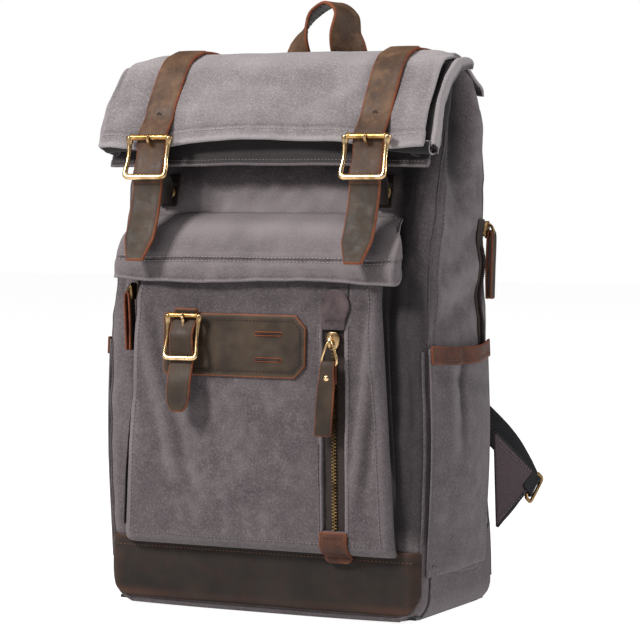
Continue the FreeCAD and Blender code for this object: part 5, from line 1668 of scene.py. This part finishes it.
def back_zip():
    """Dark coil zip down the right side by the back seam."""
    low, high = span("back_zip_slider")
    across, out = np.array([0, 1.0, 0]), np.array([1.0, 0, 0])
    top = shell_top(0.93)
    centres = np.array([body_point("right", 0.90, z / top) + out for z in np.linspace(98, 308, 80)])
    zip_tape("back_zip_tape", centres, across, 5.5)
    coil = []
    for share in np.linspace(0, 1, 700):
        at = share * (len(centres) - 9)
        k = int(at)
        spot = centres[k] + (centres[k + 1] - centres[k]) * (at - k)
        angle = share * 2 * math.pi * 110
        coil.append(spot + across * 2.0 * math.cos(angle) + out * (1.5 + 0.9 * math.sin(angle)))
    finish_piece(piece("back_zip_coil", *tube(coil, 0.5, 6), [ZIP_TAPE]), "bag")
    place = (low[0] + 0.2, (low[1] + high[1]) / 2, high[2] - 4.0)
    vertices, faces = slider_mesh(place, 90)
    finish_piece(piece("back_slider_cast", vertices, faces, [ANTIQUE]), "back_slider",
                 ["back_zip_slider"])
    leather_loop("back_pull_loop", "back_pull", "back_zip_pull", place, 90, 52.0)


front_zip()
zip_patches()
front_pull()
side_zip()
back_zip()


# ---------------------------------------------------------------- back: yoke, handle, shoulder straps
YOKE_Z = RIDGE_Z - 62


def back_y(z):
    """The y of the flat back panel at height z."""
    return BACK_LINE[0][0] + (BACK_LINE[1][0] - BACK_LINE[0][0]) * z / BACK_LINE[1][1]


def ribbon(name, centres, wides, halves, thickness, materials, count=80, crown=0.3, flip=False):
    """A flat strap through centres, with a half width and a width direction at each."""
    path = curve(centres, count)
    at = np.linspace(0, len(centres) - 1, count)
    index = np.arange(len(centres))
    wides = np.array(wides, float)
    wide = unit(np.stack([np.interp(at, index, wides[:, k]) for k in range(3)], axis=1))
    half = np.interp(at, index, halves)
    along_path = unit(np.gradient(path, axis=0))
    wide = unit(wide - along_path * np.sum(wide * along_path, axis=1)[:, None])
    flat = np.cross(along_path, wide) * (-1 if flip else 1)
    grid = np.array([[path[i] + wide[i] * half[i] * a + flat[i] * crown * (1 - a * a)
                      for a in np.linspace(-1, 1, 9)]
                     for i in range(count)])
    tones = np.tile(-0.15 * np.abs(np.linspace(-1, 1, 9)) ** 6, count)
    return sheet(name, grid, thickness, materials, tones, flip=flip), grid, flat


def yoke():
    rows = []
    for z in np.linspace(YOKE_Z, SHOULDER[1] - 10, 24):
        corner = max(0.0, 6 - (z - YOKE_Z))
        half = 72 - (6 - math.sqrt(max(36 - corner ** 2, 0.0)))
        rows.append([(x, back_y(z) + 2.2 + 0.5 * rough(x, 0, z, 30, 61), z)
                     for x in np.linspace(half, -half, 60)])
    thing = sheet("yoke_leather", rows, 2.2, [LEATHER_RED, LEATHER_DARK, EDGE])
    finish_piece(thing, "bag", ["strap_yoke"])
    lines = []
    for z in (YOKE_Z + 3.2, YOKE_Z + 6.0):
        lines.append(([(x, back_y(z) + 3.5, z) for x in np.linspace(-67, 67, 60)], (0, 1, 0)))
    for x in (-69, 69):
        lines.append(([(x, back_y(z) + 3.5, z) for z in np.linspace(YOKE_Z + 6, SHOULDER[1] - 12, 20)],
                      (0, 1, 0)))
    for x in (-24, 24):
        low, high, wide = YOKE_Z + 10, YOKE_Z + 26, 8.5
        square = [(x - wide, low), (x + wide, high), (x + wide, low), (x - wide, high), (x - wide, low),
                  (x + wide, low)]
        path = []
        for a, b in zip(square, square[1:]):
            path += [(a[0] + (b[0] - a[0]) * t, 0, a[1] + (b[1] - a[1]) * t) for t in np.linspace(0, 1, 14)]
        lines.append(([(p[0], back_y(p[2]) + 7.0, p[2]) for p in path], (0, 1, 0)))
    finish_piece(stitches("yoke_stitches", lines, THREAD_DARK, 3.2, 2.2, 0.4), "bag")
    for side in (-1, 1):
        path = [(side * 45, back_y(z) + 9.0 - 3.5 * smooth(YOKE_Z + 4, YOKE_Z + 14, z), z)
                for z in (YOKE_Z + 16, YOKE_Z + 10, YOKE_Z + 5, YOKE_Z - 0.5)]
        thing, _, _ = ribbon("strap_root_%d" % (side + 1), path, [(1, 0, 0)] * 4, [14, 13, 12, 11], 3.0,
                             [CANVAS] * 3, 20)
        finish_piece(thing, "bag")


def handle():
    """One leather strip: its feet lie flat on the yoke, its legs lean forward and twist, its arch is edge-on."""
    low_y, low_z = back_y(YOKE_Z + 10) + 5.4, YOKE_Z + 8
    half_path = [((-24, low_y, low_z), (1, 0, 0)), ((-24, back_y(YOKE_Z + 28) + 5.2, YOKE_Z + 28), (1, 0, 0)),
                 ((-24, SHOULDER[0] + 2.6, SHOULDER[1] - 3), (1, -0.1, 0)),
                 ((-24, SHOULDER[0] - 0.6, SHOULDER[1] + 8), (0.95, -0.3, 0)),
                 ((-22.5, SHOULDER[0] - 7.5, RIDGE_Z + 2), (0.86, -0.5, 0)),
                 ((-19.5, SHOULDER[0] - 8.5, RIDGE_Z + 16), (0.5, -0.87, 0)),
                 ((-12.5, SHOULDER[0] - 4, RIDGE_Z + 33), (0.15, -1, 0))]
    path = half_path + [((3.0, SHOULDER[0], RIDGE_Z + 42.5), (0, -1, 0)),
                        ((18.0, SHOULDER[0] - 4, RIDGE_Z + 33.5), (-0.15, -1, 0))]
    path += [((-place[0], place[1], place[2]), (-wide[0], wide[1], 0)) for place, wide in half_path[-2::-1]]
    halves = [10, 10, 11, 12.5, 13, 13, 13, 13, 13, 13, 13, 12.5, 11, 10, 10]
    thing, grid, flat = ribbon("handle_loop", [p for p, _ in path], [w for _, w in path], halves, 3.0,
                               [LEATHER, LEATHER_DARK, EDGE], 150, crown=0.2)
    bridge(thing, "leather_brown", "bag", "handle", (SHOULDER[0] + 2, SHOULDER[1] - 9),
           (SHOULDER[0] + 2, SHOULDER[1] + 3), ["carry_handle"])
    lines = []
    for column in (1, 7):
        keep = [i for i in range(150) if grid[i, 4, 2] > SHOULDER[1] + 4]
        line = [grid[i, column] + flat[i] * 1.6 for i in keep]
        lines.append((line, [flat[i] for i in keep]))
    finish_piece(stitches("handle_stitches", lines, THREAD_BROWN, 3.4, 2.2, 0.36), "handle")


# ---------------------------------------------------------------- shoulder straps
STRAP_TOP = (45.0, back_y(YOKE_Z) + 10.5, YOKE_Z - 1.2)
STRAP_STEPS = [(0, 0, 0), (2, 12, -25), (7, 26, -62), (14, 34, -105), (24, 37, -148), (33, 36, -184)]
STRAP_HALVES = [11, 18, 25, 26, 25, 15]
RING_LOW, RING_HIGH = span("strap_ring_right")
RING_AT = (RING_LOW + RING_HIGH) / 2
RING_ALONG = unit(np.array([0.04, 0.80, 0.60]))
RING_ACROSS = unit(np.array([0.41, 0.53, -0.74]))


def pad_rest():
    """Rest shape of one pad before it is blown up: a thin closed form, rows along it and a ring at each."""
    points = np.array([np.array(STRAP_TOP) + np.array(step) for step in STRAP_STEPS])
    count, around = 76, 36
    path = curve(points, count)
    at = np.linspace(0, len(points) - 1, count)
    half = np.interp(at, range(len(points)), STRAP_HALVES)
    half = np.convolve(np.pad(half, 5, mode="edge"), np.ones(11) / 11, mode="valid")
    along_path = unit(np.gradient(path, axis=0))
    wide = unit(np.array([1.0, 0, 0]) - along_path * along_path[:, :1])
    flat = np.cross(wide, along_path)
    rings, pins = [], []
    for i in range(count):
        end = min(i, count - 1 - i) / 4
        thick = 3.0 * min(1.0, 0.35 + 0.65 * end)
        for step in range(around):
            angle = 2 * math.pi * step / around
            a = math.cos(angle)
            lift = math.copysign(abs(math.sin(angle)) ** 0.75, math.sin(angle)) * thick
            rings.append(path[i] + wide[i] * a * (half[i] - 0.8) + flat[i] * lift)
            seam = abs(abs(a) - 0.64) < 0.045 and 8 < i < count - 8
            pins.append(1.0 if abs(a) > 0.985 or i < 3 or i > count - 4 else 0.85 if seam else 0.0)
    return np.array(rings), np.array(pins), path, wide, flat, half, count, around


PAD_CAP = 4.5
LAST_FRAME = 16


def blown_pad(rings, pins, count, around):
    """Cloth with pressure, held at its seams; how far a point may move is capped."""
    faces = grid_faces(count, around, wrap=True)
    faces += [tuple(range(around - 1, -1, -1)), tuple((count - 1) * around + s for s in range(around))]
    mesh = bpy.data.meshes.new("pad_work")
    mesh.from_pydata((rings * MM).tolist(), [], faces)
    work = bpy.data.objects.new("pad_work", mesh)
    bpy.context.scene.collection.objects.link(work)
    group = work.vertex_groups.new(name="held")
    for index, weight in enumerate(pins):
        if weight > 0:
            group.add([index], float(weight), "REPLACE")
    cloth = work.modifiers.new("cloth", "CLOTH")
    cloth.settings.quality = 6
    cloth.settings.mass = 0.2
    cloth.settings.tension_stiffness = 12
    cloth.settings.compression_stiffness = 12
    cloth.settings.bending_stiffness = 0.4
    cloth.settings.use_pressure = True
    cloth.settings.uniform_pressure_force = 4.0
    cloth.settings.vertex_group_mass = "held"
    cloth.settings.effector_weights.gravity = 0.0
    cloth.collision_settings.use_collision = False
    scene = bpy.context.scene
    for frame_number in range(1, LAST_FRAME + 1):
        scene.frame_set(frame_number)
    settled = work.evaluated_get(bpy.context.evaluated_depsgraph_get()).data
    moved = np.array([list(v.co) for v in settled.vertices]) / MM
    scene.frame_set(1)
    bpy.data.objects.remove(work)
    move = moved - rings
    far = np.linalg.norm(move, axis=1)
    move *= np.minimum(1.0, PAD_CAP / np.maximum(far, 1e-6))[:, None]
    return rings + move, faces


def shoulder_straps():
    rings, pins, path, wide, flat, half, count, around = pad_rest()
    blown, faces = blown_pad(rings, pins, count, around)
    kinds = [0 if (n % around) < around // 2 else 1 for n in range((count - 1) * around)] + [0, 0]
    for side in (-1, 1):
        flip = np.array([side, 1, 1])
        word = WORDS[side]
        polygons = [f[::-1] for f in faces] if side < 0 else faces
        thing = piece("shoulder_pad_" + word, blown * flip, polygons, [CANVAS, PADDING], kinds)
        finish_piece(thing, "shoulder_" + word, ["shoulder_strap_" + word])
        parts = []
        for hand in (-1, 1):
            parts.append(tube((path + wide * (half + 0.2)[:, None] * hand)[1:-1] * flip, 1.5, 8))
        finish_piece(piece("pad_binding_" + word, *joined(parts), [WEBBING]), "shoulder_" + word)
        lines = []
        keep = range(9, count - 9)
        for column in (around // 2 - 5, 5):
            line = [(blown[i * around + column] + flat[i] * 0.1) * flip for i in keep]
            lines.append((line, [flat[i] * flip for i in keep]))
        finish_piece(stitches("pad_stitches_" + word, lines, THREAD, 3.4, 2.3, 0.38), "shoulder_" + word)
        anchor = [path[i] + flat[i] * 4.6 for i in (50, 53, 56)]
        patch, _, _ = ribbon("pad_patch_" + word, [p * flip for p in anchor], [(side, 0, 0)] * 3, [13, 13, 13],
                             1.6,
                             [LEATHER_RED, LEATHER_DARK, EDGE], 14, flip=side > 0)
        finish_piece(patch, "shoulder_" + word)


def webbing_and_ring(side):
    word = WORDS[side]
    flip = np.array([side, 1, 1])
    x, y, z = STRAP_TOP
    rx, ry, rz = RING_AT
    points = [(x + 31, y + 36.2, z - 176), (x + 33.8, y + 36.0, z - 186.6), (x + 44.0, y + 45.0, z - 214.0),
              (rx - 31.0, ry + 1.0, rz + 41.0), (rx - 15.0, ry + 2.0, rz + 21.0),
              (rx - 4.4, ry + 2.8, rz + 3.2)]
    wides = [(1, 0, 0), (0.95, 0.1, 0.05), (0.7, 0.3, 0.2), (0.4, 0.5, 0.4), (0.15, 0.7, 0.55),
             tuple(RING_ALONG)]
    thing, _, _ = ribbon("webbing_" + word, [np.array(p) * flip for p in points],
                         [np.array(w) * flip for w in wides],
                         [12] * 6, 2.0, [WEBBING] * 3, 90, crown=0.0)
    finish_piece(thing, "shoulder_" + word, ["strap_webbing_" + word])
    corners = []
    half, reach = 14.5, 3.4
    for step in range(48):
        angle = 2 * math.pi * step / 48
        a = math.copysign(abs(math.cos(angle)) ** 0.35, math.cos(angle))
        b = math.copysign(abs(math.sin(angle)) ** 0.35, math.sin(angle))
        corners.append((RING_AT + RING_ALONG * half * a + RING_ACROSS * reach * b) * flip)
    finish_piece(piece("ring_" + word, *tube(np.array(corners), 1.5, 10, closed=True), [ANTIQUE]),
                 "shoulder_" + word,
                 ["strap_ring_" + word])


def wing(side):
    """Triangular canvas wing with a turned seam, two stitch rows and a loop of webbing for the ring."""
    word = WORDS[side]
    flip = np.array([side, 1, 1])
    high = np.array([HALF + 0.6, BACK - 4.0, 137.0])
    low = np.array([HALF + 0.6, BACK + 1.5, 60.0])
    tip = RING_AT - RING_ACROSS * 6.6
    end_high, end_low = tip + RING_ALONG * 10, tip - RING_ALONG * 10
    normal = unit(np.cross(low - high, tip - high))
    rows = []
    for t in np.linspace(0, 1, 30):
        a, b = high + (end_high - high) * t, low + (end_low - low) * t
        b = b + (low - high) * 0.02 * math.sin(math.pi * t)
        rows.append([a + (b - a) * s + normal * (1.1 + 0.8 * math.sin(math.pi * s) * math.sin(math.pi * t))
                     for s in np.linspace(0, 1, 24)])
    thing = sheet("wing_cloth_" + word, np.array(rows) * flip, 2.2, [PADDING] * 3, flip=side > 0)
    finish_piece(thing, "bag", ["strap_wings"] if side > 0 else ())
    parts = [tube([(low + (end_low - low) * t + normal * 1.1) * flip for t in np.linspace(0, 0.92, 20)], 1.7,
                  8),
             tube([(high + (end_high - high) * t + normal * 1.1) * flip for t in np.linspace(0, 0.92, 20)], 1.5,
                  8)]
    finish_piece(piece("wing_binding_" + word, *joined(parts), [WEBBING]), "bag")
    lines = []
    for s in (0.06, 0.12, 0.93):
        line = [(high + (end_high - high) * t) * (1 - s) + (low + (end_low - low) * t) * s + normal * 2.6
                for t in np.linspace(0.05, 0.9, 40)]
        lines.append(([p * flip for p in line], normal * flip))
    finish_piece(stitches("wing_stitches_" + word, lines, THREAD, 3.2, 2.1, 0.36), "bag")
    turn = []
    for angle in np.linspace(-0.5, math.pi + 0.5, 16):
        turn.append(RING_AT - RING_ACROSS * (3.4 - 2.9 * math.sin(angle)) + normal * 2.9 * math.cos(angle))
    turn = [tip - RING_ACROSS * 5 + normal * 2.4] + turn + [tip - RING_ACROSS * 5 - normal * 0.6]
    thing, _, _ = ribbon("wing_loop_" + word, [p * flip for p in turn], [RING_ALONG * flip] * len(turn),
                         [9.5] * len(turn), 1.6,
                         [WEBBING] * 3, 50, crown=0.0)
    finish_piece(thing, "shoulder_" + word)


yoke()
handle()
shoulder_straps()
for SIDE in (-1, 1):
    webbing_and_ring(SIDE)
    wing(SIDE)


# ---------------------------------------------------------------- inside and small parts
def divider():
    """Padded laptop divider, its top edge bound."""
    low, high = span("laptop_divider")
    rows = []
    for z in np.linspace(low[2], high[2], 40):
        y = high[1] - 1.5 + (low[1] - high[1] + 3.0) * (z - low[2]) / (high[2] - low[2])
        edge = smooth(low[2], low[2] + 16, z) * (1 - smooth(high[2] - 16, high[2], z))
        rows.append([(x, y - 1.0 * edge * math.cos(x / 130 * math.pi / 2) * (1 + 0.4 * rough(x, 0, z, 50, 71)),
                      z)
                     for x in np.linspace(low[0] + 0.5, high[0] - 0.5, 50)])
    thing = sheet("divider_pad", rows, 3.0, [LINING] * 3)
    finish_piece(thing, "bag", ["laptop_divider"])
    top = [(x, low[1] + 1.5, high[2] - 0.4) for x in np.linspace(low[0] + 1, high[0] - 1, 40)]
    finish_piece(piece("divider_binding", *tube(top, 1.9, 8), [WEBBING]), "bag")


def snaps():
    """Press studs: sockets on the front, studs under the strap."""
    for side, word in WORDS.items():
        for node, body, name in (("snap_stud_" + word, "strap_" + word, "snap_stud_cast_"),
                                 ("snap_sockets", "bag", "snap_socket_cast_")):
            low, high = span(node)
            radius = (high[2] - low[2]) / 2
            middle = np.array([side * (high[0] - radius), 0, (low[2] + high[2]) / 2])
            if node.startswith("snap_stud"):
                middle[0] = (low[0] + high[0]) / 2
            rings = []
            profile = [(0.3, low[1] + 0.1), (radius * 0.35, low[1] + 0.1), (radius * 0.45, low[1] + 0.35),
                       (radius * 0.7, low[1] + 0.35), (radius * 0.8, low[1]), (radius, low[1] + 0.3),
                       (radius, high[1])]
            for r, y in profile:
                rings += circle(middle[0], y, middle[2], r, 28)
            faces = grid_faces(len(profile), 28, wrap=True) + [tuple(range(27, -1, -1)),
                                                               tuple(range(6 * 28, 7 * 28))]
            thing = piece(name + word, np.array(rings), faces, [ANTIQUE])
            replaced = [node] if body != "bag" or side > 0 else ()
            finish_piece(thing, body, replaced)


def plain_parts():
    """CAD parts that are kept as they are, with a material."""
    board = bpy.data.objects["base_board"]
    board.data.materials.clear()
    board.data.materials.append(BOARD)


divider()
snaps()
plain_parts()


# ---------------------------------------------------------------- floor, light and camera
def studio():
    mesh = bpy.data.meshes.new("floor")
    reach = 6000.0
    corners = [(-reach, -reach, -0.3), (reach, -reach, -0.3), (reach, reach, -0.3), (-reach, reach, -0.3)]
    mesh.from_pydata((np.array(corners) * MM).tolist(), [], [(0, 1, 2, 3)])
    floor = bpy.data.objects.new("floor", mesh)
    bpy.context.scene.collection.objects.link(floor)
    paint = Shader("floor_paper", roughness=0.9, specular=0.1)
    paint.bsdf.inputs["Base Color"].default_value = (0.32, 0.32, 0.32, 1)
    paint.bsdf.inputs["Emission Color"].default_value = (1.0, 1.0, 1.0, 1)
    paint.bsdf.inputs["Emission Strength"].default_value = 0.92
    mesh.materials.append(paint.material)

    world = bpy.data.worlds.new("studio")
    world.use_nodes = True
    nodes, links = world.node_tree.nodes, world.node_tree.links
    soft = nodes["Background"]
    soft.inputs["Color"].default_value = (1.0, 1.0, 1.0, 1)
    soft.inputs["Strength"].default_value = 0.14
    paper = nodes.new("ShaderNodeBackground")
    paper.inputs["Color"].default_value = (1.0, 1.0, 1.0, 1)
    paper.inputs["Strength"].default_value = 1.0
    seen = nodes.new("ShaderNodeLightPath")
    either = nodes.new("ShaderNodeMixShader")
    links.new(seen.outputs["Is Camera Ray"], either.inputs[0])
    links.new(soft.outputs[0], either.inputs[1])
    links.new(paper.outputs[0], either.inputs[2])
    links.new(either.outputs[0], nodes["World Output"].inputs["Surface"])
    bpy.context.scene.world = world

    def area(name, place, size, power, colour):
        light = bpy.data.lights.new(name, "AREA")
        light.shape = "RECTANGLE"
        light.size, light.size_y = size
        light.energy = power
        light.color = colour
        lamp = bpy.data.objects.new(name, light)
        lamp.location = Vector(place)
        aim = Vector((0, 0, 0.22)) - lamp.location
        lamp.rotation_euler = aim.to_track_quat("-Z", "Y").to_euler()
        bpy.context.scene.collection.objects.link(lamp)

    area("key", (-1.15, -1.7, 1.75), (0.6, 0.6), 86, (1.0, 0.985, 0.97))
    area("top", (0.1, -0.5, 2.3), (0.9, 0.9), 20, (1.0, 0.99, 0.98))
    area("right", (2.2, 0.4, 1.25), (0.6, 1.2), 30, (0.98, 0.985, 1.0))


def camera():
    """Azimuth 27 degrees, a little above the bag's middle, looking slightly down."""
    turn = math.radians(27.0)
    distance, eye, aim, shift = 2190.0, 345.6, 227.0, 13.0
    right = Vector((math.cos(turn), math.sin(turn), 0))
    away = Vector((-math.sin(turn), math.cos(turn), 0))
    lens = bpy.data.cameras.new("view")
    lens.sensor_width = 36.0
    lens.lens = 153.5625
    lens.clip_end = 50.0
    camera_object = bpy.data.objects.new("view", lens)
    place = (-away * distance + Vector((0, 0, eye))) * MM
    target = (right * shift + Vector((0, 0, aim))) * MM
    camera_object.location = place
    camera_object.rotation_euler = (target - place).to_track_quat("-Z", "Y").to_euler()
    bpy.context.scene.collection.objects.link(camera_object)
    bpy.context.scene.camera = camera_object


bpy.context.scene.view_settings.view_transform = "Standard"
studio()
camera()
